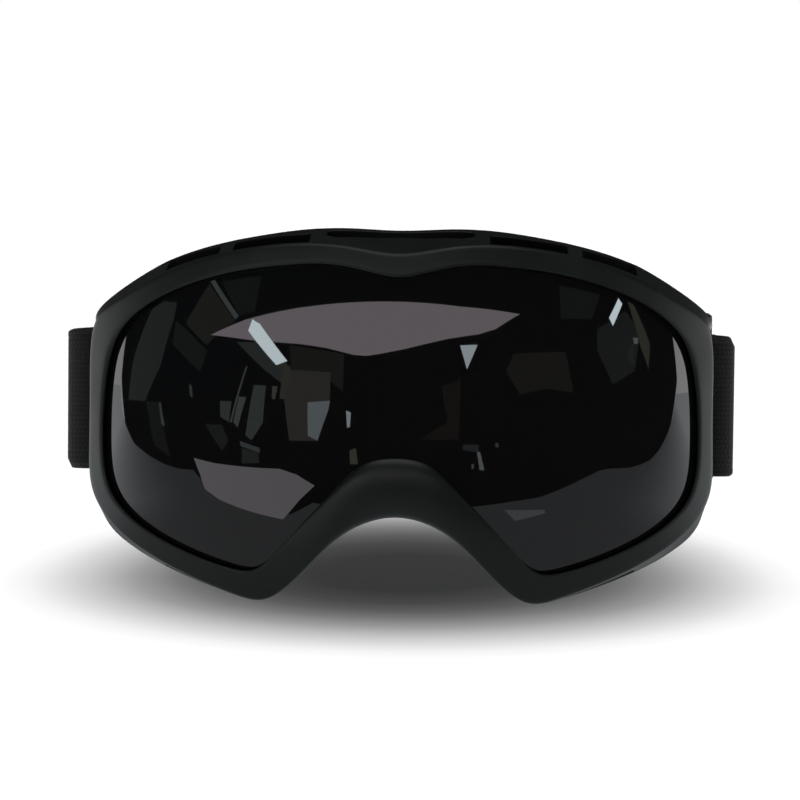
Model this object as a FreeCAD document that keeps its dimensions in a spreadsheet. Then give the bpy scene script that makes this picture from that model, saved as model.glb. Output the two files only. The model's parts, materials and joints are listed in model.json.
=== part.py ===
import FreeCAD, Part
import math
import os
import re

import Sketcher
from FreeCAD import Placement, Rotation, Vector

# Motorcycle goggles: a one-piece frame with a snapped-in toric lens, a layered face foam,
# foam behind each air vent, and an elastic head strap with two sliding adjusters.
# Frame: X to the wearer's left, Y towards the face, Z up; the origin is the apex of the
# face seal at the height of the strap.
SIZES = {
    # Lens: a barrel shape, an upright arc swept about a vertical axis.
    "lens_apex": -40.0,
    "lens_sweep": 110.0,
    "lens_rise": 160.0,
    "lens_thickness": 1.2,
    "lens_play": 0.15,
    "lens_edge": 1.5,
    "lens_edge_play": 0.25,
    # Face side: a flatter barrel with its own axis.
    "face_sweep": 109.0,
    "face_rise": 184.0,
    # Frame walls.
    "lip_thickness": 1.85,
    "seat_thickness": 2.0,
    "wall": 3.0,
    "flange_thickness": 2.5,
    "crease_radius": 0.9,
    "window_radius": 0.5,
    # Face foam layers, front to back.
    "foam_base": 8.0,
    "foam_middle": 5.0,
    "fleece": 3.0,
    "foam_inset": 0.4,
    # Air vents: distances behind the lens apex, widths of the brow vents, angles of the cheek ones.
    "vent_setback": 10.7,
    "vent_inner_length": 9.5,
    "vent_outer_length": 7.4,
    "channel_lead": 4.3,
    "vent_recess": 1.6,
    "vent_corner": 1.4,
    "vent_inner_start": 25.4,
    "vent_inner_end": 46.2,
    "vent_outer_start": 51.1,
    "vent_outer_end": 65.9,
    "vent_low": 25.0,
    "vent_high": 65.0,
    "cheek_vent_start": 27.0,
    "cheek_vent_end": 39.0,
    "cheek_setback": 12.0,
    "cheek_length": 7.0,
    # Brow scoop: a shallow dish with an air slit under its rear rim.
    "scoop_half_width": 20.6,
    "scoop_front_y": -46.0,
    "scoop_rear_y": -14.0,
    "scoop_front_low": 41.8,
    "scoop_front_high": 46.7,
    "scoop_rear_low": 48.1,
    "scoop_rear_high": 49.5,
    "scoop_sky": 62.0,
    "slit_rear_y": -12.6,
    "slit_length": 3.0,
    "slit_floor": 40.0,
    # Vent foam inside the chamber.
    "vent_foam_gap": 0.1,
    "vent_foam_thickness": 2.0,
    "vent_foam_margin": 1.0,
    "vent_foam_overlap": 1.0,
    "scoop_foam_lead": 5.0,
    # Strap and its anchor bars.
    "strap_width": 40.0,
    "strap_thickness": 1.6,
    "strap_play": 0.2,
    "strap_inner_x": 86.6,
    "strap_run_x": 89.6,
    "fold_radius": 4.25,
    "sway_angle": 28.0,
    "run_end_y": 92.0,
    "tail_sway_angle": 12.0,
    "bar_radius": 1.3,
    "bar_y": 16.9,
    "slot_wall_x": 85.2,
    "slot_front_y": 9.6,
    "slot_reach": 30.0,
    "slot_play": 0.4,
    "arm_height": 2.5,
    "arm_front_y": 8.0,
    # Adjusters.
    "slider_y": 80.0,
    "slider_length": 22.0,
    "end_bar_length": 2.2,
    "end_bar_thickness": 1.7,
    "centre_bar_length": 4.0,
    "centre_bar_thickness": 1.4,
    "rail_height": 3.6,
    "rail_play": 0.4,
    "rail_corner": 2.5,
    "loop_leg": 9.0,
    # Working planes of the outline blocks.
    "block_depth": 130.0,
    "block_front": -50.0,
    "block_rear": 30.0,
    "trim_height": 68.0,
    "trim_reach": 95.0,
}

# Right half of the frame outline, from the brow down to the nose arch: front crease x, z and
# rear flange x, z.
FRAME_STATIONS = [
    (0.0, 44.2, 0.0, 50.4),
    (9.0, 45.3, 9.0, 50.7),
    (17.0, 46.6, 17.5, 50.9),
    (27.0, 46.8, 28.0, 50.2),
    (40.0, 45.4, 41.0, 48.1),
    (53.2, 42.4, 54.0, 45.2),
    (66.0, 37.6, 67.0, 40.6),
    (77.6, 31.2, 78.4, 34.2),
    (86.2, 25.0, 87.4, 26.7),
    (88.9, 18.0, 85.1, 18.0),
    (89.1, 4.0, 84.9, 4.0),
    (89.4, -12.0, 84.5, -15.5),
    (88.9, -23.8, 87.8, -27.6),
    (84.7, -31.6, 85.8, -36.6),
    (75.6, -39.2, 76.5, -43.7),
    (60.0, -46.8, 60.8, -50.5),
    (46.0, -51.7, 46.5, -54.8),
    (38.5, -53.1, 38.6, -55.8),
    (32.2, -50.4, 31.7, -51.6),
    (22.7, -41.1, 22.2, -40.5),
    (12.8, -32.4, 12.3, -30.8),
    (0.0, -28.5, 0.0, -26.7),
]

# Right half of the lens window, x and z.
WINDOW_STATIONS = [
    (0.0, 37.8),
    (9.0, 39.4),
    (19.0, 41.1),
    (30.0, 40.8),
    (44.1, 38.9),
    (59.1, 34.6),
    (70.9, 28.7),
    (78.8, 21.5),
    (82.1, 14.0),
    (83.8, 4.0),
    (84.5, -10.0),
    (83.6, -21.1),
    (79.7, -28.7),
    (69.7, -36.0),
    (56.0, -41.6),
    (46.5, -44.2),
    (40.0, -44.3),
    (34.0, -39.6),
    (24.8, -29.2),
    (16.5, -20.2),
    (9.0, -13.4),
    (0.0, -11.6),
]

# Right half of the opening on the face side, x and z.
FACE_STATIONS = [
    (0.0, 40.2),
    (14.0, 41.0),
    (28.0, 40.4),
    (44.0, 37.6),
    (58.0, 33.0),
    (69.0, 26.8),
    (75.2, 18.5),
    (76.8, 6.0),
    (76.8, -8.0),
    (76.2, -20.0),
    (72.0, -30.0),
    (62.0, -37.2),
    (49.0, -42.2),
    (40.0, -43.0),
    (33.5, -38.0),
    (24.5, -27.8),
    (13.0, -20.0),
    (0.0, -17.6),
]


def make_sheet(doc):
    """Put every driving size into the document's spreadsheet."""
    sheet = doc.addObject("Spreadsheet::Sheet", "sizes")
    for row, (name, size) in enumerate(SIZES.items(), start=1):
        sheet.set(f"A{row}", name)
        sheet.set(f"B{row}", str(size))
        sheet.setAlias(f"B{row}", name)
    doc.recompute()


def words(text):
    """Write an expression of size names as one that reads the sheet."""
    return re.sub(r"[a-z]\w*_\w+|wall|fleece", lambda found: "sizes." + found.group(0), text)


def value(doc, text):
    """Number that an expression of size names comes to."""
    return float(doc.getObject("probe").evalExpression(words(text)))


def bind(item, path, text):
    """Tie one property of a document object to the sheet."""
    item.setExpression(path, words(text))


# --- sketches and bodies -------------------------------------------------------------------

def new_body(doc, label):
    """Empty body with its label."""
    body = doc.addObject("PartDesign::Body", label)
    body.Label = label
    return body


def plane_sketch(body, role, name, shift=("0", "0", "0")):
    """Sketch on one of the body's own origin planes, moved by sizes in the plane's axes."""
    sketch = body.newObject("Sketcher::SketchObject", name)
    plane = next(item for item in body.Origin.OriginFeatures if item.Role == role)
    sketch.AttachmentSupport = [(plane, "")]
    sketch.MapMode = "FlatFace"
    for axis, text in zip("xyz", shift):
        if text != "0":
            bind(sketch, f"AttachmentOffset.Base.{axis}", text)
    return sketch


def fix(sketch, text, *constraint):
    """Add a constraint whose size comes from the sheet."""
    number = sketch.addConstraint(Sketcher.Constraint(*constraint, value(sketch.Document, text)))
    bind(sketch, f"Constraints[{number}]", text)


def rectangle(sketch, left, bottom, right, top):
    """Closed rectangle with its four sides tied to the sheet, as distances from the origin."""
    doc = sketch.Document
    x0, y0, x1, y1 = (value(doc, text) for text in (left, bottom, right, top))
    corners = [Vector(x0, y0), Vector(x1, y0), Vector(x1, y1), Vector(x0, y1)]
    lines = [sketch.addGeometry(Part.LineSegment(corners[i], corners[(i + 1) % 4])) for i in range(4)]
    for i, line in enumerate(lines):
        sketch.addConstraint(Sketcher.Constraint("Coincident", line, 2, lines[(i + 1) % 4], 1))
        sketch.addConstraint(Sketcher.Constraint("Horizontal" if i % 2 == 0 else "Vertical", line))
    fix(sketch, left, "DistanceX", -1, 1, lines[0], 1)
    fix(sketch, bottom, "DistanceY", -1, 1, lines[0], 1)
    fix(sketch, right, "DistanceX", -1, 1, lines[1], 2)
    fix(sketch, top, "DistanceY", -1, 1, lines[1], 2)


def pad(body, sketch, length, name, midplane=False, reverse=False):
    """Pad a sketch by a size."""
    feature = body.newObject("PartDesign::Pad", name)
    feature.Profile = sketch
    bind(feature, "Length", length)
    feature.Midplane = midplane
    feature.Reversed = reverse
    return feature


# --- outlines ------------------------------------------------------------------------------

POINTS_PER_EDGE = 3


def both_halves(stations):
    """Whole closed outline from its right half, from the top middle round and back."""
    return list(stations) + [(-x, z) for x, z in stations[-2:0:-1]]


def knots(points):
    """Knot values of a closed curve through the points, by the root of each chord."""
    steps = [math.sqrt(math.dist(a, b)) for a, b in zip(points, points[1:] + points[:1])]
    places = [0.0]
    for step in steps:
        places.append(places[-1] + step)
    return places


def closed_curve(points, places):
    """Smooth closed curve through the points, as a chain of short edges."""
    whole = Part.BSplineCurve()
    whole.interpolate(
        Points=[Vector(x, z, 0) for x, z in points],
        PeriodicFlag=True,
        Parameters=places,
    )
    chain = []
    for start in range(0, len(points), POINTS_PER_EDGE):
        piece = whole.copy()
        piece.segment(places[start], places[min(start + POINTS_PER_EDGE, len(points))])
        chain.append(piece)
    return chain


def grown(points, distance):
    """Closed outline moved outward (inward when negative) along its own normals."""
    count = len(points)
    moved = []
    for i, (x, z) in enumerate(points):
        (xa, za), (xb, zb) = points[i - 1], points[(i + 1) % count]
        along = math.hypot(xb - xa, zb - za)
        moved.append((x - distance * (zb - za) / along, z + distance * (xb - xa) / along))
    return moved


# --- barrels -------------------------------------------------------------------------------

BARRELS = {
    "bezel": "lens_rise + lens_play + lip_thickness",
    "groove_front": "lens_rise + lens_play",
    "lens_front": "lens_rise",
    "lens_back": "lens_rise - lens_thickness",
    "groove_back": "lens_rise - lens_thickness - lens_play",
    "seat_back": "lens_rise - lens_thickness - lens_play - seat_thickness",
    "chamber_back": "face_rise + fleece + foam_middle + foam_base + flange_thickness",
    "flange_back": "face_rise + fleece + foam_middle + foam_base",
    "base_back": "face_rise + fleece + foam_middle",
    "middle_back": "face_rise + fleece",
    "skin": "face_rise",
}


def barrel(surface):
    """Axis place, arc centre and arc radius of a barrel surface, as sheet expressions."""
    radius = BARRELS[surface]
    if radius.startswith("lens"):
        return "lens_apex + lens_sweep", "lens_rise - lens_sweep", radius
    return "face_sweep", "face_rise - face_sweep", radius


def barrel_y(doc, surface, x, z):
    """Depth of a barrel surface at x, z."""
    axis, centre, radius = (value(doc, text) for text in barrel(surface))
    reach = math.sqrt(radius ** 2 - z ** 2) - centre
    return axis - math.sqrt(reach ** 2 - x ** 2)


def trim(body, surface, keep):
    """Groove away what lies in front of a barrel surface, or behind it."""
    doc = body.Document
    axis, centre, radius = barrel(surface)
    sketch = plane_sketch(body, "YZ_Plane", f"{body.Name}_{surface}_profile", (axis, "0", "0"))
    sketch.AttachmentOffset = Placement(sketch.AttachmentOffset.Base, Rotation(Vector(0, 1, 0), 180))
    middle, size, height = (value(doc, text) for text in (centre, radius, "trim_height"))
    end = middle - math.sqrt(size ** 2 - height ** 2)
    edge = 0.0 if keep == "front" else middle - size - value(doc, "trim_reach")
    swing = math.asin(height / size)
    circle = Part.Circle(Vector(middle, 0), Vector(0, 0, 1), size)
    arc = sketch.addGeometry(Part.ArcOfCircle(circle, math.pi - swing, math.pi + swing))
    low = sketch.addGeometry(Part.LineSegment(Vector(end, -height), Vector(edge, -height)))
    side = sketch.addGeometry(Part.LineSegment(Vector(edge, -height), Vector(edge, height)))
    high = sketch.addGeometry(Part.LineSegment(Vector(edge, height), Vector(end, height)))
    for first, second in ((arc, low), (low, side), (side, high), (high, arc)):
        sketch.addConstraint(Sketcher.Constraint("Coincident", first, 2, second, 1))
    sketch.addConstraint(Sketcher.Constraint("Horizontal", low))
    sketch.addConstraint(Sketcher.Constraint("Vertical", side))
    sketch.addConstraint(Sketcher.Constraint("Horizontal", high))
    sketch.addConstraint(Sketcher.Constraint("PointOnObject", arc, 3, -1))
    fix(sketch, centre, "DistanceX", -1, 1, arc, 3)
    fix(sketch, radius, "Radius", arc)
    fix(sketch, "trim_height", "DistanceY", -1, 1, side, 2)
    if keep == "front":
        sketch.addConstraint(Sketcher.Constraint("PointOnObject", low, 2, -2))
    else:
        fix(sketch, f"{radius} - ({centre}) + trim_reach", "DistanceX", side, 2, -1, 1)
    groove = body.newObject("PartDesign::Groove", f"{body.Name}_{surface}_trim")
    groove.Profile = sketch
    groove.ReferenceAxis = (sketch, ["V_Axis"])
    groove.Angle = 360.0
    doc.recompute()
    return groove


def outline_block(doc, label, outlines):
    """Body padded right through the part from one outline, or from a ring of two."""
    body = new_body(doc, label)
    sketch = plane_sketch(body, "XZ_Plane", f"{label}_outline")
    for points in outlines:
        sketch.addGeometry(closed_curve(points, knots(points)))
    pad(body, sketch, "block_depth", f"{label}_pad", midplane=True)
    doc.recompute()
    return body


def chain_wire(points, places, plane_y):
    """The closed curve through the points as a wire in an upright plane."""
    upright = FreeCAD.Matrix(1, 0, 0, 0, 0, 0, -1, plane_y, 0, 1, 0, 0, 0, 0, 0, 1)
    edges = [piece.toShape() for piece in closed_curve(points, places)]
    for edge in edges:
        edge.transformShape(upright)
    return Part.Wire(edges)


def flared_block(doc, label, inset):
    """Body between two outlines, ruled straight from the front crease to the rear flange."""
    front = both_halves([(a, b) for a, b, _, _ in FRAME_STATIONS])
    rear = both_halves([(a, b) for _, _, a, b in FRAME_STATIONS])
    places = knots(front)
    wires = []
    for side in ("block_front", "block_rear"):
        plane_y = value(doc, side)
        points = []
        for (xf, zf), (xr, zr) in zip(grown(front, -inset), grown(rear, -inset)):
            start = barrel_y(doc, "bezel", xf, zf)
            end = barrel_y(doc, "flange_back", xr, zr)
            share = (plane_y - start) / (end - start)
            points.append((xf + share * (xr - xf), zf + share * (zr - zf)))
        wires.append(chain_wire(points, places, plane_y))
    pairs = zip(wires[0].OrderedEdges, wires[1].OrderedEdges)
    faces = [Part.makeRuledSurface(near, far) for near, far in pairs]
    faces.extend(Part.Face(wire) for wire in wires)
    tube = doc.addObject("Part::Feature", f"{label}_tube")
    tube.Shape = Part.Solid(Part.makeShell(faces))
    body = new_body(doc, label)
    body.BaseFeature = tube
    doc.recompute()
    return body


# --- frame ---------------------------------------------------------------------------------

def sector(doc, label, start, end, front, rear, bottom, top, corner="vent_corner"):
    """Upright sector about the lens axis, from one angle to another, with rounded corners."""
    body = new_body(doc, label)
    sketch = plane_sketch(body, "YZ_Plane", f"{label}_section", ("lens_apex + lens_sweep", "0", "0"))
    sketch.AttachmentOffset = Placement(sketch.AttachmentOffset.Base, Rotation(Vector(0, 1, 0), 1))
    bind(sketch, "AttachmentOffset.Rotation.Angle", start)
    rectangle(sketch, f"-({front})", bottom, f"-({rear})", top)
    doc.recompute()
    turn = body.newObject("PartDesign::Revolution", f"{label}_turn")
    turn.Profile = sketch
    turn.ReferenceAxis = (sketch, ["V_Axis"])
    bind(turn, "Angle", f"({end}) - ({start})")
    doc.recompute()
    fillet = body.newObject("PartDesign::Fillet", f"{label}_corners")
    fillet.Base = (turn, upright_edges(turn.Shape))
    bind(fillet, "Radius", corner)
    doc.recompute()
    return body


def slot(doc, label, start, end, front, rear, bottom, top, corner="vent_corner"):
    """Upright slot with straight ends, between two arcs about the lens axis, corners rounded."""
    body = new_body(doc, label)
    sketch = plane_sketch(body, "XY_Plane", f"{label}_plan", ("0", "lens_apex + lens_sweep", bottom))
    left, right, outer, inner = (value(doc, text) for text in (start, end, front, rear))
    arcs = []
    corners = []
    for radius, text in ((outer, front), (inner, rear)):
        ends = [Vector(x, -math.sqrt(radius ** 2 - x ** 2)) for x in (left, right)]
        angles = [math.atan2(point.y, point.x) for point in ends]
        circle = Part.Circle(Vector(), Vector(0, 0, 1), radius)
        arc = sketch.addGeometry(Part.ArcOfCircle(circle, *angles))
        sketch.addConstraint(Sketcher.Constraint("Coincident", arc, 3, -1, 1))
        arcs.append((arc, text))
        corners.append(ends)
    for end, x in ((1, start), (2, end)):
        line = sketch.addGeometry(Part.LineSegment(corners[0][end - 1], corners[1][end - 1]))
        for point, (arc, _) in zip((1, 2), arcs):
            sketch.addConstraint(Sketcher.Constraint("Coincident", line, point, arc, end))
        sketch.addConstraint(Sketcher.Constraint("Vertical", line))
        fix(sketch, x, "DistanceX", -1, 1, line, 1)
    for arc, text in arcs:
        fix(sketch, text, "Radius", arc)
    doc.recompute()
    block = pad(body, sketch, f"({top}) - ({bottom})", f"{label}_rise")
    doc.recompute()
    fillet = body.newObject("PartDesign::Fillet", f"{label}_corners")
    fillet.Base = (block, upright_edges(block.Shape))
    bind(fillet, "Radius", corner)
    doc.recompute()
    return body


def upright_edges(shape):
    """Names of the straight edges that stand along Z."""
    names = []
    for number, edge in enumerate(shape.Edges, start=1):
        ends = [vertex.Point for vertex in edge.Vertexes]
        if len(ends) == 2 and math.hypot(ends[0].x - ends[1].x, ends[0].y - ends[1].y) < 1e-6:
            names.append(f"Edge{number}")
    return names


def box(doc, name, left, front, bottom, right, rear, top):
    """Box between three pairs of sizes."""
    item = doc.addObject("Part::Box", name)
    spans = (("x", "Length", left, right), ("y", "Width", front, rear), ("z", "Height", bottom, top))
    for axis, length, low, high in spans:
        bind(item, f"Placement.Base.{axis}", low)
        bind(item, length, f"({high}) - ({low})")
    return item


def fuse(doc, name, items):
    """Join document objects."""
    joined = doc.addObject("Part::MultiFuse", name)
    joined.Shapes = items
    return joined


def cut(doc, name, base, tool):
    """Take one document object out of another."""
    remainder = doc.addObject("Part::Cut", name)
    remainder.Base = base
    remainder.Tool = tool
    return remainder


def common(doc, name, first, second):
    """What two document objects share."""
    shared = doc.addObject("Part::MultiCommon", name)
    shared.Shapes = [first, second]
    return shared


def window_cutters(doc):
    """The window through the front and the groove that holds the lens."""
    window = both_halves(WINDOW_STATIONS)
    opening = outline_block(doc, "window_cutter", [window])
    trim(opening, "seat_back", "front")
    edge = grown(window, value(doc, "lens_edge + lens_edge_play"))
    groove = outline_block(doc, "groove_cutter", [edge])
    trim(groove, "groove_front", "back")
    trim(groove, "groove_back", "front")
    return [opening, groove]


def chamber_cutters(doc):
    """The hollow behind the lens and its opening towards the face."""
    chamber = flared_block(doc, "chamber_cutter", value(doc, "wall"))
    trim(chamber, "seat_back", "back")
    trim(chamber, "chamber_back", "front")
    opening = outline_block(doc, "face_cutter", [both_halves(FACE_STATIONS)])
    trim(opening, "seat_back", "back")
    return [chamber, opening]


VENT_WELL = "lens_sweep - vent_setback"
VENT_FRONT = f"{VENT_WELL} + channel_lead"
CHEEK_FRONT = "lens_sweep - cheek_setback"
CHEEK_REAR = f"{CHEEK_FRONT} - cheek_length"
SLIT_FRONT_Y = "slit_rear_y - slit_length"
VENTS = {
    "brow_outer": ("vent_outer_start", "vent_outer_end", f"{VENT_WELL} - vent_outer_length"),
    "brow_inner": ("vent_inner_start", "vent_inner_end", f"{VENT_WELL} - vent_inner_length"),
}


def sides(start, end):
    """Range of a vent on the wearer's left side and its mirror image."""
    return {"left": (start, end), "right": (f"-({end})", f"-({start})")}


def vent_cutters(doc):
    """Brow slots, each a shallow channel with a through well, and the cheek slots."""
    wells = []
    channels = []
    for name, (inner, outer, rear) in VENTS.items():
        for side, (start, end) in sides(inner, outer).items():
            label = f"{name}_{side}"
            channels.append(slot(doc, f"{label}_channel", start, end, VENT_FRONT, rear,
                                 "vent_low", "vent_high"))
            wells.append(slot(doc, f"{label}_well", start, end, VENT_WELL, rear,
                              "vent_low", "vent_high"))
    for side, (start, end) in sides("cheek_vent_start", "cheek_vent_end").items():
        wells.append(sector(doc, f"cheek_{side}_well", start, end, CHEEK_FRONT, CHEEK_REAR,
                            "-vent_high", "-vent_low"))
    core = flared_block(doc, "recess_core", value(doc, "vent_recess"))
    recess = cut(doc, "vent_channels", fuse(doc, "channel_sectors", channels), core)
    return wells + [recess]


def scoop_cutters(doc):
    """The scoop's dish, lofted between two V-bottomed sections, and its slit."""
    dish = new_body(doc, "scoop_dish")
    sections = []
    for end in ("front", "rear"):
        sketch = plane_sketch(dish, "XZ_Plane", f"scoop_{end}", ("0", "0", f"-scoop_{end}_y"))
        half, low, high, sky = (value(doc, text) for text in (
            "scoop_half_width", f"scoop_{end}_low", f"scoop_{end}_high", "scoop_sky"))
        floor = [Vector(-half, high), Vector(0, low), Vector(half, high)]
        corners = floor + [Vector(half, sky), Vector(-half, sky)]
        turns = list(zip(corners, corners[1:] + corners[:1]))
        lines = [sketch.addGeometry(Part.LineSegment(start, stop)) for start, stop in turns]
        for line, following in zip(lines, lines[1:] + lines[:1]):
            sketch.addConstraint(Sketcher.Constraint("Coincident", line, 2, following, 1))
        sketch.addConstraint(Sketcher.Constraint("PointOnObject", lines[0], 2, -2))
        sketch.addConstraint(Sketcher.Constraint("Symmetric", lines[0], 1, lines[1], 2, -2))
        sketch.addConstraint(Sketcher.Constraint("Symmetric", lines[2], 2, lines[3], 2, -2))
        sketch.addConstraint(Sketcher.Constraint("Vertical", lines[2]))
        fix(sketch, "scoop_half_width", "DistanceX", -1, 1, lines[1], 2)
        fix(sketch, f"scoop_{end}_low", "DistanceY", -1, 1, lines[0], 2)
        fix(sketch, f"scoop_{end}_high", "DistanceY", -1, 1, lines[1], 2)
        fix(sketch, "scoop_sky", "DistanceY", -1, 1, lines[2], 2)
        sections.append(sketch)
    loft = dish.newObject("PartDesign::AdditiveLoft", "scoop_loft")
    loft.Profile = sections[0]
    loft.Sections = sections[1:]
    loft.Ruled = True
    slit = box(doc, "scoop_slit", "-scoop_half_width", SLIT_FRONT_Y, "slit_floor",
               "scoop_half_width", "slit_rear_y", "scoop_sky")
    return [dish, slit]


def anchor(doc, side, sign):
    """Strap bar on two arms that reach back from the side wall, and the slot it leaves."""
    bar_x = "strap_inner_x + strap_thickness / 2 + strap_play + bar_radius"
    half = "strap_width / 2 + slot_play"
    inner, outer = sorted((f"{sign} * ({bar_x} - bar_radius)", f"{sign} * ({bar_x} + bar_radius)"),
                          key=lambda text: value(doc, text))
    pieces = []
    for end, low in (("top", half), ("bottom", f"-({half}) - arm_height")):
        pieces.append(box(doc, f"arm_{side}_{end}", inner, "arm_front_y", low,
                          outer, "bar_y + bar_radius", f"{low} + arm_height"))
    bar = doc.addObject("Part::Cylinder", f"bar_{side}")
    bind(bar, "Radius", "bar_radius")
    bind(bar, "Height", f"2 * ({half} + arm_height)")
    bind(bar, "Placement.Base.x", f"{sign} * ({bar_x})")
    bind(bar, "Placement.Base.y", "bar_y")
    bind(bar, "Placement.Base.z", f"-({half}) - arm_height")
    pieces.append(bar)
    near, far = sorted((f"{sign} * slot_wall_x", f"{sign} * (slot_wall_x + slot_reach)"),
                       key=lambda text: value(doc, text))
    slot = box(doc, f"slot_{side}", near, "slot_front_y", f"-({half})",
               far, "slot_front_y + slot_reach", half)
    return pieces, slot


def make_frame(doc):
    """One-piece frame: bezel lip, lens groove, hollow chamber, face flange, vents, strap bars."""
    block = flared_block(doc, "frame_block", 0.0)
    trim(block, "bezel", "back")
    trim(block, "flange_back", "front")
    bars = []
    slots = []
    for side, sign in (("left", "1"), ("right", "-1")):
        pieces, slot = anchor(doc, side, sign)
        bars.extend(pieces)
        slots.append(slot)
    slotted = cut(doc, "slotted_block", block, fuse(doc, "strap_slots", slots))
    outer = fuse(doc, "frame_outer", [slotted] + bars)
    cutters = window_cutters(doc) + chamber_cutters(doc) + vent_cutters(doc) + scoop_cutters(doc)
    sharp = cut(doc, "frame_sharp", outer, fuse(doc, "frame_cutters", cutters))
    doc.recompute()
    frame = doc.addObject("Part::Fillet", "frame")
    frame.Base = sharp
    frame.Edges = rim_edges(doc, sharp.Shape)
    return frame


def rim_edges(doc, shape):
    """Edges of the bezel face with their radii: the crease outside and the window inside."""
    def on_bezel(face):
        return all(
            abs(spot.Y - barrel_y(doc, "bezel", spot.X, spot.Z)) < 1e-4 for spot in face.Vertexes
        )

    bezel = next(face for face in shape.Faces if on_bezel(face))
    crease = bezel.OuterWire
    rims = []
    for wire in bezel.Wires:
        radius = value(doc, "crease_radius" if wire.isSame(crease) else "window_radius")
        for rim in wire.Edges:
            number = next(i for i, edge in enumerate(shape.Edges, start=1) if edge.isSame(rim))
            rims.append((number, radius, radius))
    return rims


# --- lens and foam -------------------------------------------------------------------------

def make_lens(doc):
    """Toric lens, its edge held in the frame's groove."""
    edge = grown(both_halves(WINDOW_STATIONS), value(doc, "lens_edge"))
    lens = outline_block(doc, "lens", [edge])
    trim(lens, "lens_front", "back")
    trim(lens, "lens_back", "front")
    return lens


def make_face_foam(doc, label, front, back):
    """One layer of the ring of foam that rests on the face."""
    rear = both_halves([(x, z) for _, _, x, z in FRAME_STATIONS])
    ring = [grown(rear, -value(doc, "foam_inset")), both_halves(FACE_STATIONS)]
    layer = outline_block(doc, label, ring)
    trim(layer, front, "back")
    trim(layer, back, "front")
    return layer


def make_vent_foams(doc):
    """Thin foam pads against the chamber wall, one behind each vent."""
    gap = value(doc, "wall + vent_foam_gap")
    outside = flared_block(doc, "liner_outside", gap)
    trim(outside, "seat_back", "back")
    trim(outside, "chamber_back", "front")
    inside = flared_block(doc, "liner_inside", gap + value(doc, "vent_foam_thickness"))
    liner = cut(doc, "liner", outside, inside)
    foams = []
    for name, (inner, outer, rear) in VENTS.items():
        for side, (start, end) in sides(inner, outer).items():
            pad_area = slot(doc, f"{name}_{side}_area", f"({start}) - vent_foam_overlap",
                            f"({end}) + vent_foam_overlap", VENT_WELL,
                            f"{rear} - vent_foam_overlap", "vent_low", "vent_high")
            foams.append(common(doc, f"vent_foam_{name}_{side}", liner, pad_area))
    for side, (start, end) in sides("cheek_vent_start", "cheek_vent_end").items():
        pad_area = sector(doc, f"cheek_{side}_area", f"({start}) - vent_foam_margin",
                          f"({end}) + vent_foam_margin", CHEEK_FRONT,
                          f"{CHEEK_REAR} - vent_foam_overlap", "-vent_high", "-vent_low")
        foams.append(common(doc, f"vent_foam_cheek_{side}", liner, pad_area))
    area = box(doc, "scoop_area", "-scoop_half_width - vent_foam_overlap",
               f"{SLIT_FRONT_Y} - scoop_foam_lead", "vent_low",
               "scoop_half_width + vent_foam_overlap", "slit_rear_y", "vent_high")
    foams.append(common(doc, "vent_foam_scoop", liner, area))
    return foams


# --- strap ---------------------------------------------------------------------------------

def ribbon(doc, label, start, heading, moves):
    """Strap of one thickness along a path of straight runs and turns, seen from above."""
    half = value(doc, "strap_thickness") / 2
    place = Vector(*start)
    angle = math.radians(heading)
    left_side = []
    right_side = []
    for kind, size, turn in moves:
        normal = Vector(-math.sin(angle), math.cos(angle))
        if kind == "run":
            step = Vector(math.cos(angle), math.sin(angle)) * size
            for store, shift in ((left_side, half), (right_side, -half)):
                store.append(Part.LineSegment(place + normal * shift, place + step + normal * shift))
            place = place + step
            continue
        way = math.copysign(1.0, turn)
        centre = place + normal * (size * way)
        spin = math.radians(turn)
        for store, shift in ((left_side, half), (right_side, -half)):
            arm = (place + normal * shift) - centre
            points = [centre + FreeCAD.Rotation(Vector(0, 0, 1), math.degrees(spin) * share).multVec(arm)
                      for share in (0.0, 0.5, 1.0)]
            store.append(Part.Arc(*points))
        arm = place - centre
        place = centre + FreeCAD.Rotation(Vector(0, 0, 1), turn).multVec(arm)
        angle += spin
    body = new_body(doc, label)
    sketch = plane_sketch(body, "XY_Plane", f"{label}_plan")
    edges = left_side + right_side
    edges.append(Part.LineSegment(left_side[0].StartPoint, right_side[0].StartPoint))
    edges.append(Part.LineSegment(left_side[-1].EndPoint, right_side[-1].EndPoint))
    for edge in edges:
        sketch.addGeometry(edge)
    pad(body, sketch, "strap_width", f"{label}_pad", midplane=True)
    return body


def make_strap_side(doc, side, sign):
    """Strap from its slot, round the bar in a soft fold, to the side run and the back."""
    names = ("strap_inner_x", "fold_radius", "strap_run_x", "sway_angle", "bar_y", "run_end_y")
    inner, fold, run, sway, bar_y, end_y = (value(doc, name) for name in names)
    bend = (inner + 2 * fold - run) / (2 * (1 - math.cos(math.radians(sway))))
    straight = end_y - bar_y - 2 * bend * math.sin(math.radians(sway))
    moves = [
        ("turn", fold, 180 * sign),
        ("turn", bend, sway * sign),
        ("turn", bend, -sway * sign),
        ("run", straight, 0),
    ]
    return ribbon(doc, f"strap_side_{side}", (sign * inner, bar_y), -90, moves)


def make_strap_back(doc):
    """Half-round band behind the head."""
    run, end_y = value(doc, "strap_run_x"), value(doc, "run_end_y")
    return ribbon(doc, "strap_back_band", (run, end_y), 90, [("turn", run, 180)])


LOOP_RADIUS = "(centre_bar_thickness + 2 * strap_play + strap_thickness) / 2"
LOOP_OUTER_X = "strap_run_x - strap_thickness - strap_play"
LOOP_FRONT_Y = "slider_y - centre_bar_length / 2 - loop_leg"


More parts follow.
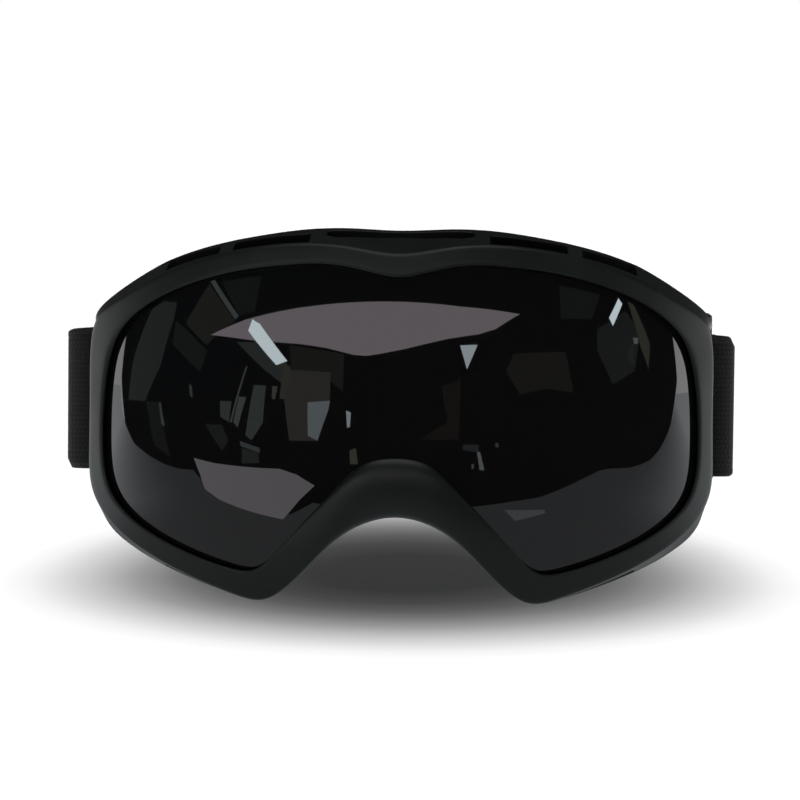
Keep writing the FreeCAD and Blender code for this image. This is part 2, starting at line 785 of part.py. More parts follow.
def make_strap_end(doc, side, sign):
    """End of the strap, turned round the adjuster's centre bar and sewn."""
    outer, radius, front = (value(doc, text) for text in (LOOP_OUTER_X, LOOP_RADIUS, LOOP_FRONT_Y))
    leg = value(doc, "centre_bar_length + loop_leg")
    moves = [("run", leg, 0), ("turn", radius, 180 * sign), ("run", leg, 0)]
    return ribbon(doc, f"strap_end_{side}", (sign * outer, front), 90, moves)


def make_strap_tail(doc, side, sign):
    """Doubled layer of the strap, straight past the face foam, then in to the adjuster."""
    far_x = f"{LOOP_OUTER_X} - 2 * ({LOOP_RADIUS})"
    near, far, sway, bar_y, end_y = (value(doc, text) for text in (
        "strap_inner_x", far_x, "tail_sway_angle", "bar_y", LOOP_FRONT_Y))
    bend = (near - far) / (2 * (1 - math.cos(math.radians(sway))))
    straight = end_y - bar_y - 2 * bend * math.sin(math.radians(sway))
    moves = [("run", straight, 0), ("turn", bend, sway * sign), ("turn", bend, -sway * sign)]
    return ribbon(doc, f"strap_tail_{side}", (sign * near, bar_y), 90, moves)


def make_slider(doc, side, sign):
    """Adjuster: two rails, two end bars outside the strap and a centre bar inside it."""
    body = new_body(doc, f"slider_{side}")
    bar_inner = f"{LOOP_OUTER_X} - 2 * ({LOOP_RADIUS}) + strap_thickness / 2 + strap_play"
    bar_outer = "strap_run_x + strap_thickness / 2 + strap_play"
    outside = f"{bar_outer} + end_bar_thickness"
    half = "strap_width / 2 + rail_play"
    top = f"{half} + rail_height"
    end, bar, centre = "slider_length / 2", "end_bar_length", "centre_bar_length / 2"
    front, low_side, low_top = f"-({end})", f"-({half})", f"-({top})"
    rails = [(front, half, end, top), (front, low_top, end, low_side)]
    end_bars = [(front, low_side, f"{bar} - {end}", half), (f"{end} - {bar}", low_side, end, half)]
    layers = {
        "rails": (bar_inner, outside, rails),
        "end_bars": (bar_outer, outside, end_bars),
        "centre": (bar_inner, f"{bar_inner} + centre_bar_thickness",
                   [(f"-({centre})", low_side, centre, half)]),
    }
    for name, (near, far, areas) in layers.items():
        low = near if sign > 0 else f"-({far})"
        sketch = plane_sketch(body, "YZ_Plane", f"slider_{side}_{name}", ("slider_y", "0", low))
        for area in areas:
            rectangle(sketch, *area)
        pad(body, sketch, f"({far}) - ({near})", f"slider_{side}_{name}_pad")
    doc.recompute()
    plate = body.Tip
    corners = body.newObject("PartDesign::Fillet", f"slider_{side}_corners")
    corners.Base = (plate, corner_edges(plate.Shape, value(doc, top)))
    bind(corners, "Radius", "rail_corner")
    doc.recompute()
    return body


def corner_edges(shape, top):
    """Names of the edges along X at the very top and bottom."""
    names = []
    for number, edge in enumerate(shape.Edges, start=1):
        ends = [vertex.Point for vertex in edge.Vertexes]
        level = all(abs(abs(end.z) - top) < 1e-6 for end in ends)
        if level and math.hypot(ends[0].y - ends[1].y, ends[0].z - ends[1].z) < 1e-6:
            names.append(f"Edge{number}")
    return names


# --- document ------------------------------------------------------------------------------

def build():
    """Make the whole document and return the sub-parts."""
    doc = FreeCAD.newDocument("goggles")
    make_sheet(doc)
    doc.addObject("App::FeaturePython", "probe")
    parts = [make_frame(doc), make_lens(doc)]
    parts.append(make_face_foam(doc, "face_foam_base", "flange_back", "base_back"))
    parts.append(make_face_foam(doc, "face_foam_middle", "base_back", "middle_back"))
    parts.append(make_face_foam(doc, "face_fleece", "middle_back", "skin"))
    parts.extend(make_vent_foams(doc))
    parts.append(make_strap_back(doc))
    for side, sign in (("left", 1), ("right", -1)):
        parts.append(make_strap_side(doc, side, sign))
        parts.append(make_strap_tail(doc, side, sign))
        parts.append(make_strap_end(doc, side, sign))
        parts.append(make_slider(doc, side, sign))
    doc.recompute()
    return doc, parts


def check(doc, parts):
    """Stop if any object failed or any sub-part is not a sound shape."""
    for item in doc.Objects:
        if "Invalid" in item.State or "Error" in item.State:
            raise RuntimeError(f"{item.Name} failed")
    for item in parts:
        if item.Shape.isNull() or not item.Shape.isValid():
            raise RuntimeError(f"{item.Label} has no sound shape")


def main():
    """Build, check and write every sub-part."""
    doc, parts = build()
    check(doc, parts)
    os.makedirs("parts", exist_ok=True)
    for item in parts:
        item.Shape.exportStep(f"parts/{item.Label}.step")
        print(item.Label, len(item.Shape.Solids), round(item.Shape.Volume, 1))


main()
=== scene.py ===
"""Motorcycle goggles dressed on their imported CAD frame: shell, lens, foams, strap, adjusters."""

import json
import logging
import math
from dataclasses import dataclass, field
from typing import Sequence

import bmesh
import bpy
import numpy as np
from mathutils import Matrix, Vector, noise

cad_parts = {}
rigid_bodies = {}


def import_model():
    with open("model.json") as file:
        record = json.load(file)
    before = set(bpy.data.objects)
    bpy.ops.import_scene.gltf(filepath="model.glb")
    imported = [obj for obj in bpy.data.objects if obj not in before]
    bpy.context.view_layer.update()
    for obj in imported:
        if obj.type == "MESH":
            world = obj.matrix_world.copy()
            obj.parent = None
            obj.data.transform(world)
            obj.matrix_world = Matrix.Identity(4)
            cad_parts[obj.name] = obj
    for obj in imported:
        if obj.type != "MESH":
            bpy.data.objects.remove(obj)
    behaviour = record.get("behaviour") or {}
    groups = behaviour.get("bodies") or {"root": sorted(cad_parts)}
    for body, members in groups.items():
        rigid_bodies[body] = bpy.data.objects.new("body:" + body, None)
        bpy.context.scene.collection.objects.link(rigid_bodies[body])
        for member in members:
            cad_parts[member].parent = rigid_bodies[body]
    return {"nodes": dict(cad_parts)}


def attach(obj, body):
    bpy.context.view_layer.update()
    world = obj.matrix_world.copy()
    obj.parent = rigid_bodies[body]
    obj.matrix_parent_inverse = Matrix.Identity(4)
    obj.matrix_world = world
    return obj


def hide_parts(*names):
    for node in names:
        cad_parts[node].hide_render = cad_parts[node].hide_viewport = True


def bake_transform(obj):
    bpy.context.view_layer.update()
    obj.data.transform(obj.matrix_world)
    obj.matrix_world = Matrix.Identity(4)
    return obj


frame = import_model()
log = logging.getLogger("goggles")

MM = 0.001
STATIONS = 42
HALF = STATIONS / 2


# --- shader graphs -------------------------------------------------------------------------

class Signal:
    """One output socket of a shader graph, on which arithmetic adds Math nodes."""

    def __init__(self, graph: "Graph", socket: bpy.types.NodeSocket) -> None:
        """Wrap a socket.

        Args:
            graph: Graph that the socket belongs to.
            socket: The output socket.
        """
        self.graph = graph
        self.socket = socket

    def _math(self, operation: str, left: object, right: object) -> "Signal":
        """Add one Math node and return its result."""
        return self.graph.add("ShaderNodeMath", {"operation": operation}, {0: left, 1: right})

    def __add__(self, other: object) -> "Signal":
        """Sum."""
        return self._math("ADD", self, other)

    __radd__ = __add__

    def __sub__(self, other: object) -> "Signal":
        """Difference."""
        return self._math("SUBTRACT", self, other)

    def __rsub__(self, other: object) -> "Signal":
        """Difference, the other way round."""
        return self._math("SUBTRACT", other, self)

    def __mul__(self, other: object) -> "Signal":
        """Product."""
        return self._math("MULTIPLY", self, other)

    __rmul__ = __mul__

    def __truediv__(self, other: object) -> "Signal":
        """Quotient."""
        return self._math("DIVIDE", self, other)

    def __pow__(self, other: object) -> "Signal":
        """Power."""
        return self._math("POWER", self, other)

    def sine(self) -> "Signal":
        """Sine."""
        return self._math("SINE", self, 0.0)

    def size(self) -> "Signal":
        """Value without its sign."""
        return self._math("ABSOLUTE", self, 0.0)

    def above(self, edge: float) -> "Signal":
        """One where the value is over the edge, else nought."""
        return self._math("GREATER_THAN", self, edge)


class Graph:
    """Node tree of one material or of the world."""

    def __init__(self, tree: bpy.types.NodeTree) -> None:
        """Empty a node tree.

        Args:
            tree: The tree to fill.
        """
        self.tree = tree
        tree.nodes.clear()

    def add(self, kind: str, settings: dict[str, object] | None = None,
            inputs: dict[object, object] | None = None, output: object = 0) -> Signal:
        """Add a node.

        Args:
            kind: Node type.
            settings: Properties, set first; "stops" fills a ramp with (place, colour) pairs.
            inputs: Values or signals by socket name or number.
            output: Name or number of the socket that is returned.

        Returns:
            The chosen output.
        """
        node = self.tree.nodes.new(kind)
        for name, setting in (settings or {}).items():
            if name == "stops":
                self._fill(node.color_ramp, setting)
            else:
                setattr(node, name, setting)
        for name, given in (inputs or {}).items():
            if isinstance(given, Signal):
                self.tree.links.new(given.socket, node.inputs[name])
            else:
                node.inputs[name].default_value = given
        return Signal(self, node.outputs[output])

    @staticmethod
    def _fill(ramp: bpy.types.ColorRamp, stops: Sequence[tuple[float, float]]) -> None:
        """Give a ramp its grey stops.

        Args:
            ramp: The ramp.
            stops: Place and grey of each stop.
        """
        while len(ramp.elements) < len(stops):
            ramp.elements.new(0.5)
        for element, (place, shade) in zip(ramp.elements, stops):
            element.position = place
            element.color = (shade, shade, shade, 1.0)

    def end(self, shader: Signal, kind: str = "ShaderNodeOutputMaterial") -> None:
        """Join a shader to the tree's output."""
        node = self.tree.nodes.new(kind)
        self.tree.links.new(shader.socket, node.inputs["Surface"])

    def place(self) -> Signal:
        """Object coordinates."""
        return self.add("ShaderNodeTexCoord", output="Object")

    def run(self, name: str) -> Signal:
        """The piece's own UV map of that name."""
        return self.add("ShaderNodeUVMap", {"uv_map": name}, output="UV")

    def part(self, vector: Signal, axis: str) -> Signal:
        """One component of a vector."""
        return self.add("ShaderNodeSeparateXYZ", inputs={0: vector}, output=axis)

    def noise(self, where: Signal, scale: float, detail: float = 3.0, rough: float = 0.5) -> Signal:
        """Smooth noise of about one feature per 1/scale metres."""
        return self.add("ShaderNodeTexNoise", {}, {
            "Vector": where, "Scale": scale, "Detail": detail, "Roughness": rough})

    def cells(self, where: Signal, scale: float) -> Signal:
        """Distance to the nearest of scattered points."""
        return self.add("ShaderNodeTexVoronoi", {}, {"Vector": where, "Scale": scale}, "Distance")

    def blend(self, share: object, low: Sequence[float], high: Sequence[float]) -> Signal:
        """Colour between two others."""
        return self.add("ShaderNodeMix", {"data_type": "RGBA"}, {
            0: share, 6: (*low, 1.0), 7: (*high, 1.0)}, 2)

    def spread(self, value: Signal, low: float, high: float, start: float, end: float) -> Signal:
        """Value mapped from low..high to start..end, clamped."""
        return self.add("ShaderNodeMapRange", {"clamp": True}, {
            0: value, 1: low, 2: high, 3: start, 4: end})

    def bump(self, height: Signal, depth: float, strength: float = 1.0) -> Signal:
        """Normal from a height that spans depth metres."""
        return self.add("ShaderNodeBump", {}, {
            "Height": height, "Distance": depth, "Strength": strength})


def new_material(name: str) -> tuple[bpy.types.Material, Graph]:
    """Material with an empty graph.

    Args:
        name: Name of the material.

    Returns:
        The material and the graph of its nodes.
    """
    material = bpy.data.materials.new(name)
    material.use_nodes = True
    return material, Graph(material.node_tree)


@dataclass(frozen=True)
class Finish:
    """One surface finish: its constants, and what its subclasses vary over the surface."""

    name: str
    slot: str
    colour: tuple[float, float, float]
    roughness: float
    ior: float = 1.5
    sheen: float = 0.0

    def make(self) -> bpy.types.Material:
        """Make the material, or return it if it is made already.

        Returns:
            The material.
        """
        if self.name in bpy.data.materials:
            return bpy.data.materials[self.name]
        material, graph = new_material(self.name)
        graph.end(graph.add("ShaderNodeBsdfPrincipled", {}, {
            "Base Color": (*self.colour, 1.0), "Roughness": self.roughness, "IOR": self.ior,
            "Sheen Weight": self.sheen, "Sheen Roughness": 0.5, **self.varied(graph)}))
        return material

    def varied(self, graph: Graph) -> dict[str, object]:
        """Inputs of the shader that change over the surface."""
        return {}


class Moulded(Finish):
    """Satin moulded plastic: a fine spark-eroded grain, faint sink marks and a painted highlight on
    convex edges.
    """

    def varied(self, graph: Graph) -> dict[str, object]:
        """Grain, slow random tone and a painted highlight on convex edges.

        Args:
            graph: Graph of the material.

        Returns:
            The shader's varied inputs, by name.
        """
        where = graph.place()
        grain = graph.noise(where, 2600.0, 2.0, 0.6)
        slow = graph.noise(where, 38.0, 3.0, 0.5)
        # Painted highlight: convex edges, found by pointiness, are lightened and made a little
        # glossier to stand in for the light that rounded rims catch.
        edge = graph.add("ShaderNodeNewGeometry", output="Pointiness")
        edge_highlight = graph.spread(edge, 0.52, 0.62, 0.0, 1.0)
        shade = graph.spread(slow, 0.3, 0.7, 0.0, 0.25) + edge_highlight * 0.75
        high = tuple(part * 2.4 + 0.006 for part in self.colour)
        rough = graph.spread(slow, 0.3, 0.7, self.roughness - 0.04, self.roughness + 0.06)
        return {
            "Base Color": graph.blend(shade, self.colour, high),
            "Roughness": rough - edge_highlight * 0.06,
            "Normal": graph.bump(grain, 0.00003, 0.55),
        }


class Visor(Finish):
    """Dark mirror-smooth lens: almost black, with faint wiping haze."""

    def varied(self, graph: Graph) -> dict[str, object]:
        """Haze in the gloss, and a trace of colour from the hard coat.

        Args:
            graph: Graph of the material.

        Returns:
            The shader's varied inputs, by name.
        """
        where = graph.place()
        haze = graph.noise(where, 45.0, 4.0, 0.55)
        tint = graph.noise(where, 14.0, 1.0, 0.4)
        return {
            "Base Color": graph.blend(graph.spread(tint, 0.35, 0.65, 0.0, 1.0), self.colour,
                                      (0.0042, 0.0034, 0.0040)),
            "Roughness": graph.spread(haze, 0.35, 0.75, self.roughness, self.roughness + 0.012),
        }


class Porous(Finish):
    """Cut open-cell foam: a pit for each cell, with painted shade inside it."""

    pore = 1500.0

    def varied(self, graph: Graph) -> dict[str, object]:
        """Pits and slow patches.

        Args:
            graph: Graph of the material.

        Returns:
            The shader's varied inputs, by name.
        """
        where = graph.place()
        cell = graph.cells(where, self.pore)
        pit = graph.spread(cell, 0.05, 0.55, 1.0, 0.0)
        slow = graph.noise(where, 90.0, 3.0)
        # Painted shade: each cell's pit is darkened towards its middle; the slow patches vary the
        # tone at random.
        shade = (1.0 - pit) * 0.8 + slow * 0.3
        high = tuple(part * 2.1 for part in self.colour)
        return {
            "Base Color": graph.blend(shade, tuple(part * 0.45 for part in self.colour), high),
            "Normal": graph.bump(1.0 - pit, 0.00035, 0.9),
        }


class CoarsePorous(Porous):
    """Reticulated filter foam with wide cells."""

    pore = 800.0


class Fleece(Finish):
    """Brushed fleece: short matted pile with lighter tips."""

    def varied(self, graph: Graph) -> dict[str, object]:
        """Matted tufts and fine pile.

        Args:
            graph: Graph of the material.

        Returns:
            The shader's varied inputs, by name.
        """
        where = graph.place()
        tuft = graph.noise(where, 420.0, 5.0, 0.62)
        pile = graph.noise(where, 3200.0, 2.0, 0.7)
        shade = graph.spread(tuft * 0.65 + pile * 0.35, 0.35, 0.68, 0.0, 1.0)
        high = tuple(part * 2.6 for part in self.colour)
        return {
            "Base Color": graph.blend(shade, tuple(part * 0.6 for part in self.colour), high),
            "Normal": graph.bump(tuft * 0.6 + pile * 0.4, 0.0005, 0.8),
        }


class Webbing(Finish):
    """Elastic webbing: cords along the run, knitted across, with lint."""

    cord_pitch = 0.00135
    knit_pitch = 0.0011

    def varied(self, graph: Graph) -> dict[str, object]:
        """Cords and stitches read from the strap's own run map, in metres.

        Args:
            graph: Graph of the material.

        Returns:
            The shader's varied inputs, by name.
        """
        run = graph.run("run")
        along = graph.part(run, "X")
        across = graph.part(run, "Y")
        cord = (across * (math.tau / self.cord_pitch)).sine()
        sway = (across * (math.pi / self.cord_pitch)).sine() * 1.4
        knit = (along * (math.tau / self.knit_pitch) + sway).sine()
        weave = (cord * 0.5 + 0.5) * 0.55 + (knit * 0.5 + 0.5) * 0.45
        where = graph.place()
        fuzz = graph.noise(where, 2600.0, 4.0, 0.7)
        lint = graph.spread(graph.noise(where, 1300.0, 2.0, 0.6), 0.64, 0.74, 0.0, 1.0)
        shade = graph.spread(weave * 0.6 + fuzz * 0.5, 0.2, 0.95, 0.0, 1.0) + lint * 0.7
        high = tuple(part * 2.3 for part in self.colour)
        return {
            "Base Color": graph.blend(shade, tuple(part * 0.35 for part in self.colour), high),
            "Normal": graph.bump(weave * 0.7 + fuzz * 0.45, 0.00028, 0.9),
        }


class Thread(Finish):
    """Twisted sewing thread."""

    def varied(self, graph: Graph) -> dict[str, object]:
        """Twist of the plies.

        Args:
            graph: Graph of the material.

        Returns:
            The shader's varied inputs, by name.
        """
        where = graph.place()
        ply = graph.noise(where, 5200.0, 1.0)
        return {"Normal": graph.bump(ply, 0.00006, 0.7)}


SHELL = Moulded("frame_satin", "frame", (0.0048, 0.0080, 0.0071), 0.44, ior=1.36)
# Painted shade: a near-black, dull copy of the frame plastic for the inner walls of the vents and
# slit.
VENT_SHADE = Moulded("frame_hollow", "frame", (0.0010, 0.0013, 0.0012), 0.75, ior=1.15)
LENS = Visor("lens_gloss", "lens", (0.0030, 0.0034, 0.0040), 0.012)
FOAM = Porous("face_foam_firm", "foam", (0.018, 0.018, 0.019), 0.95)
SOFT_FOAM = Porous("face_foam_soft", "soft_foam", (0.028, 0.028, 0.030), 0.95)
FLEECE = Fleece("face_fleece_pile", "fleece", (0.016, 0.016, 0.017), 0.98, sheen=0.35)
# Black filter foam, made far darker than its own colour and almost without shine, as painted shade
# inside the vents.
VENT_FOAM = CoarsePorous("vent_filter_foam", "vent_foam", (0.0012, 0.0012, 0.0012), 0.97,
                         ior=1.12)
STRAP = Webbing("strap_webbing", "strap", (0.0070, 0.0064, 0.0065), 0.95, sheen=0.06)
THREAD = Thread("strap_thread", "strap", (0.020, 0.019, 0.019), 0.6)
SLIDER = Moulded("slider_plastic", "slider", (0.012, 0.012, 0.013), 0.34)


# --- shapes --------------------------------------------------------------------------------

@dataclass(frozen=True)
class Barrel:
    """Barrel surface: an upright arc of one radius swept about an upright axis."""

    axis: float
    inset: float
    radius: float

    def depth(self, x: np.ndarray, z: np.ndarray) -> np.ndarray:
        """Depth of the surface at x, z, all in millimetres."""
        reach = np.sqrt(self.radius ** 2 - np.square(z)) - self.inset
        return self.axis - np.sqrt(np.square(reach) - np.square(x))


# Surfaces of the frame, lens and foam, by their upright axis, inset and radius.
LENS_AXIS = 70.0
BEZEL = Barrel(LENS_AXIS, 50.0, 162.0)
GROOVE_FRONT = Barrel(LENS_AXIS, 50.0, 160.15)
LENS_FRONT = Barrel(LENS_AXIS, 50.0, 160.0)
LENS_BACK = Barrel(LENS_AXIS, 50.0, 158.8)
GROOVE_BACK = Barrel(LENS_AXIS, 50.0, 158.65)
SEAT_BACK = Barrel(LENS_AXIS, 50.0, 156.65)
CHAMBER_BACK = Barrel(109.0, 75.0, 202.5)
FLANGE_BACK = Barrel(109.0, 75.0, 200.0)
BASE_BACK = Barrel(109.0, 75.0, 192.0)
MIDDLE_BACK = Barrel(109.0, 75.0, 187.0)
SKIN = Barrel(109.0, 75.0, 184.0)

# Front crease of the frame from the brow's middle round to the nose arch, x and z in millimetres.
CREASE_HALF = [
    (0.0, 44.2), (9.0, 45.3), (17.0, 46.6), (27.0, 46.8), (40.0, 45.4), (53.2, 42.4), (66.0, 37.6),
    (77.6, 31.2), (86.2, 25.0), (88.9, 18.0), (89.1, 4.0), (89.4, -12.0), (88.9, -23.8),
    (84.7, -31.6), (75.6, -39.2), (60.0, -46.8), (46.0, -51.7), (38.5, -53.1), (32.2, -50.4),
    (22.7, -41.1), (12.8, -32.4), (0.0, -28.5),
]
# Rear flange of the frame, at the same stations.
FLANGE_HALF = [
    (0.0, 50.4), (9.0, 50.7), (17.5, 50.9), (28.0, 50.2), (40.8, 48.2), (54.1, 45.2), (66.8, 40.6),
    (79.1, 33.6), (90.0, 23.6), (85.1, 18.0), (84.9, 4.0), (84.5, -15.5), (87.8, -27.6),
    (85.8, -36.6), (76.5, -43.7), (60.8, -50.5), (46.5, -54.8), (38.6, -55.8), (31.7, -51.6),
    (22.2, -40.5), (12.3, -30.8), (0.0, -26.7),
]
# Edge of the lens window, at the same stations.
WINDOW_HALF = [
    (0.0, 37.8), (9.0, 39.4), (19.0, 41.1), (30.0, 40.8), (44.1, 38.9), (59.1, 34.6), (70.9, 28.7),
    (78.8, 21.5), (82.1, 14.0), (83.8, 4.0), (84.5, -10.0), (83.6, -21.1), (79.7, -28.7),
    (69.7, -36.0), (56.0, -41.6), (46.5, -44.2), (40.0, -44.3), (34.0, -39.6), (24.8, -29.2),
    (16.5, -20.2), (9.0, -13.4), (0.0, -11.6),
]
# Opening on the face side, with fewer stations.
FACE_HALF = [
    (0.0, 40.2), (14.0, 41.0), (28.0, 40.4), (44.0, 37.6), (58.0, 33.0), (69.0, 26.8), (75.2, 18.5),
    (76.8, 6.0), (76.8, -8.0), (76.2, -20.0), (72.0, -30.0), (62.0, -37.2), (49.0, -42.2),
    (40.0, -43.0), (33.5, -38.0), (24.5, -27.8), (13.0, -20.0), (0.0, -17.6),
]
# Where the face opening's stations lie along the others.
FACE_PLACES = ((0.0, 0.0), (8.0, 5.0), (9.5, 6.5), (13.0, 10.0), (17.0, 13.0), (21.0, 17.0))


def whole(half: Sequence[tuple[float, float]]) -> np.ndarray:
    """All stations of a closed outline from its right half."""
    return np.array(list(half) + [(-x, z) for x, z in half[-2:0:-1]])


def grown(points: np.ndarray, distance: float) -> np.ndarray:
    """Closed outline moved outward along its own normals, or inward when negative.

    Args:
        points: Stations of the outline.
        distance: How far, in millimetres.

    Returns:
        The moved stations.
    """
    along = np.roll(points, -1, axis=0) - np.roll(points, 1, axis=0)
    along /= np.linalg.norm(along, axis=1)[:, None]
    return points + distance * np.stack([-along[:, 1], along[:, 0]], axis=1)


class Outline:
    """Closed smooth line in x and z through stations, read by place: a station's number."""

    def __init__(self, points: np.ndarray, knots: np.ndarray | None = None) -> None:
        """Work out the slopes at the stations.

        Args:
            points: Stations of the whole loop.
            knots: Knot spacing to share with another outline; by the root of each chord if None.
        """
        self.points = points
        ahead = np.roll(points, -1, axis=0)
        self.steps = np.sqrt(np.linalg.norm(ahead - points, axis=1)) if knots is None else knots
        count = len(points)
        before = np.roll(self.steps, 1)
        matrix = np.zeros((count, count))
        for i in range(count):
            matrix[i, (i - 1) % count] = self.steps[i]
            matrix[i, i] = 2 * (before[i] + self.steps[i])
            matrix[i, (i + 1) % count] = before[i]
        rise = (ahead - points) / self.steps[:, None]
        right = 3 * (before[:, None] * rise + self.steps[:, None] * np.roll(rise, 1, axis=0))
        self.slopes = np.linalg.solve(matrix, right)

    def at(self, place: np.ndarray) -> np.ndarray:
        """Points of the line.

        Args:
            place: Places, in stations.

        Returns:
            One x, z pair for each place.
        """
        count = len(self.points)
        place = np.mod(place, count)
        first = np.floor(place).astype(int) % count
        second = (first + 1) % count
        share = (place - np.floor(place))[:, None]
        step = self.steps[first][:, None]
        cube, square = share ** 3, share ** 2
        return ((2 * cube - 3 * square + 1) * self.points[first]
                + (cube - 2 * square + share) * step * self.slopes[first]
                + (3 * square - 2 * cube) * self.points[second]
                + (cube - square) * step * self.slopes[second])


def folded(place: np.ndarray) -> np.ndarray:
    """Places of the left half mirrored on to the right half."""
    place = np.mod(place, STATIONS)
    return np.minimum(place, STATIONS - place)


def face_place(place: np.ndarray) -> np.ndarray:
    """Places along the face opening beside the given places of the frame's outlines.

    Args:
        place: Places of the frame's outlines.

    Returns:
        Places of the face opening.
    """
    ours, theirs = zip(*FACE_PLACES)
    near = np.interp(folded(place), ours, theirs)
    return np.where(np.mod(place, STATIONS) <= HALF, near, 2 * theirs[-1] - near)


def lift(points: np.ndarray, surface: Barrel, push: float | np.ndarray = 0.0) -> np.ndarray:
    """Points of an outline laid on a barrel surface, pushed back by a distance."""
    depth = surface.depth(points[:, 0], points[:, 1]) + push
    return np.stack([points[:, 0], depth, points[:, 1]], axis=1)


def mix(start: np.ndarray, end: np.ndarray, share: float | np.ndarray) -> np.ndarray:
    """Points a share of the way from one row to another."""
    share = np.asarray(share, dtype=float)
    return start + (end - start) * (share[:, None] if share.ndim else share)


def share_at_radius(start: np.ndarray, end: np.ndarray,
                    radius: float | np.ndarray) -> np.ndarray:
    """Share of the way between two rows at which they come within a radius of the lens axis.

    Args:
        start: First row of points.
        end: Second row of points.
        radius: Distance from the lens axis, in millimetres.

    Returns:
        One share for each column.
    """
    flat_start = start[:, :2] - np.array([0.0, LENS_AXIS])
    flat_along = (end - start)[:, :2]
    a = np.sum(flat_along ** 2, axis=1)
    b = np.sum(flat_start * flat_along, axis=1)
    c = np.sum(flat_start ** 2, axis=1) - radius ** 2
    return (-b - np.sqrt(np.maximum(b * b - a * c, 0.0))) / a


def share_at_depth(start: np.ndarray, end: np.ndarray,
                   depth: float | np.ndarray) -> np.ndarray:
    """Share of the way between two rows at which they reach a depth."""
    return (depth - start[:, 1]) / (end - start)[:, 1]


def rounded(start: np.ndarray, corner: np.ndarray, end: np.ndarray,
            full: float | np.ndarray = 0.5) -> np.ndarray:
    """Middle of the turn between two rows, drawn towards their corner by a share."""
    return mix(0.5 * (start + end), corner, full)


def skin(rows: np.ndarray, wrap_rows: bool, wrap_columns: bool,
         run: np.ndarray | None = None) -> bmesh.types.BMesh:
    """Lay a grid of quads over rows of points.

    Args:
        rows: Points by row and column, in millimetres.
        wrap_rows: Join the last row to the first.
        wrap_columns: Join the last column to the first.
        run: Distances along and across for the run map, by row and column, with the closing
            row or column included.

    Returns:
        The mesh, in metres, whose faces keep their row and column.
    """
    if wrap_rows:
        rows = np.concatenate([rows, rows[:1]])
    if wrap_columns:
        rows = np.concatenate([rows, rows[:, :1]], axis=1)
    tall, wide = rows.shape[0] - 1, rows.shape[1] - 1
    mesh = bmesh.new()
    bmesh.ops.create_grid(mesh, x_segments=wide, y_segments=tall, size=0.5)
    row_layer = mesh.faces.layers.int.new("row")
    column_layer = mesh.faces.layers.int.new("column")
    for face in mesh.faces:
        middle = face.calc_center_median()
        face[row_layer] = int((middle.y + 0.5) * tall)
        face[column_layer] = int((middle.x + 0.5) * wide)
        face.smooth = True
    spots = {vert: (round((vert.co.y + 0.5) * tall), round((vert.co.x + 0.5) * wide))
             for vert in mesh.verts}
    if run is not None:
        layer = mesh.loops.layers.uv.new("run")
        for face in mesh.faces:
            for loop in face.loops:
                loop[layer].uv = run[spots[loop.vert]] * MM
    for vert, spot in spots.items():
        vert.co = Vector(rows[spot]) * MM
    if wrap_rows or wrap_columns:
        bmesh.ops.remove_doubles(mesh, verts=mesh.verts[:], dist=1e-8)
    return mesh


def close_ends(mesh: bmesh.types.BMesh) -> None:
    """Cap the open ends of a swept skin with a grid-free face each."""
    edges = [edge for edge in mesh.edges if edge.is_boundary]
    bmesh.ops.holes_fill(mesh, edges=edges, sides=0)


def new_object(name: str, mesh: bmesh.types.BMesh,
               material: bpy.types.Material) -> bpy.types.Object:
    """Object in the scene made of a mesh, which is freed.

    Args:
        name: Name of the object.
        mesh: Its mesh.
        material: Its first material.

    Returns:
        The object.
    """
    data = bpy.data.meshes.new(name)
    mesh.to_mesh(data)
    mesh.free()
    data.materials.append(material)
    piece = bpy.data.objects.new(name, data)
    bpy.context.scene.collection.objects.link(piece)
    return piece


def hang(name: str, mesh: bmesh.types.BMesh, finish: Finish,
         body: str | None) -> bpy.types.Object:
    """Make an object of a mesh with its faces outward, dress it and let it ride.

    Args:
        name: Piece name.
        mesh: Its mesh, which is freed.
        finish: Its finish.
        body: CAD body that it rides on, or None to leave that for later.

    Returns:
        The object.
    """
    bmesh.ops.recalc_face_normals(mesh, faces=mesh.faces[:])
    piece = new_object(name, mesh, finish.make())
    if body:
        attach(piece, body)
    log.info("%s: %d faces", name, len(piece.data.polygons))
    return piece


def subdivide(piece: bpy.types.Object, levels: int) -> None:
    """Finish a piece with a subdivision surface.

    Args:
        piece: Piece to finish.
        levels: How often each face is divided.
    """
    modifier = piece.modifiers.new("smooth", "SUBSURF")
    modifier.levels = modifier.render_levels = levels
    modifier.boundary_smooth = "PRESERVE_CORNERS"


# --- frame shell ---------------------------------------------------------------------------

# Rows of the outer wall between crease and flange, from the front.
WALL_ROWS = ("slot_lead", "slot_front", "slot_mid", "slot_deep", "slot_rear", "slot_trail",
             "slit_lead", "slit_front", "slit_rear", "slit_trail")
# Shares by place, counted in stations from the brow's middle down to the nose.
NOSE_SHARE = ((17.3, 18.6, 20.0, 21.0), (0.0, 0.35, 0.9, 1.0))
SIDE_SHARE = ((6.2, 8.2, 13.2, 14.6), (0.0, 1.0, 1.0, 0.0))
BROW_SHARE = ((0, 1.4, 2.2, 6.3, 7.2, 8.0), (0, 0, 1, 1, 0.5, 0))
PLAIN_SHARE = ((7.0, 8.4, 12.6, 13.6), (0, 1, 1, 0))
CHEEK_SHARE = ((12.6, 13.6, 17.0, 17.8), (0, 1, 1, 0))
ARCH_SHARE = ((17.0, 17.8), (0, 1))
# How far each row of the scoop's floor is sunk, as a share of its depth.
SCOOP_SUNK = {"slot_mid": 0.85, "slot_deep": 1.0, "slot_rear": 1.0, "slot_trail": 1.0,
              "slit_lead": 1.0, "slit_front": 1.0}
# How deep the scoop is from its middle out to its end, as shares of both.
SCOOP_DISH = ((0, 0.35, 1.0), (0.55, 0.9, 1.0))
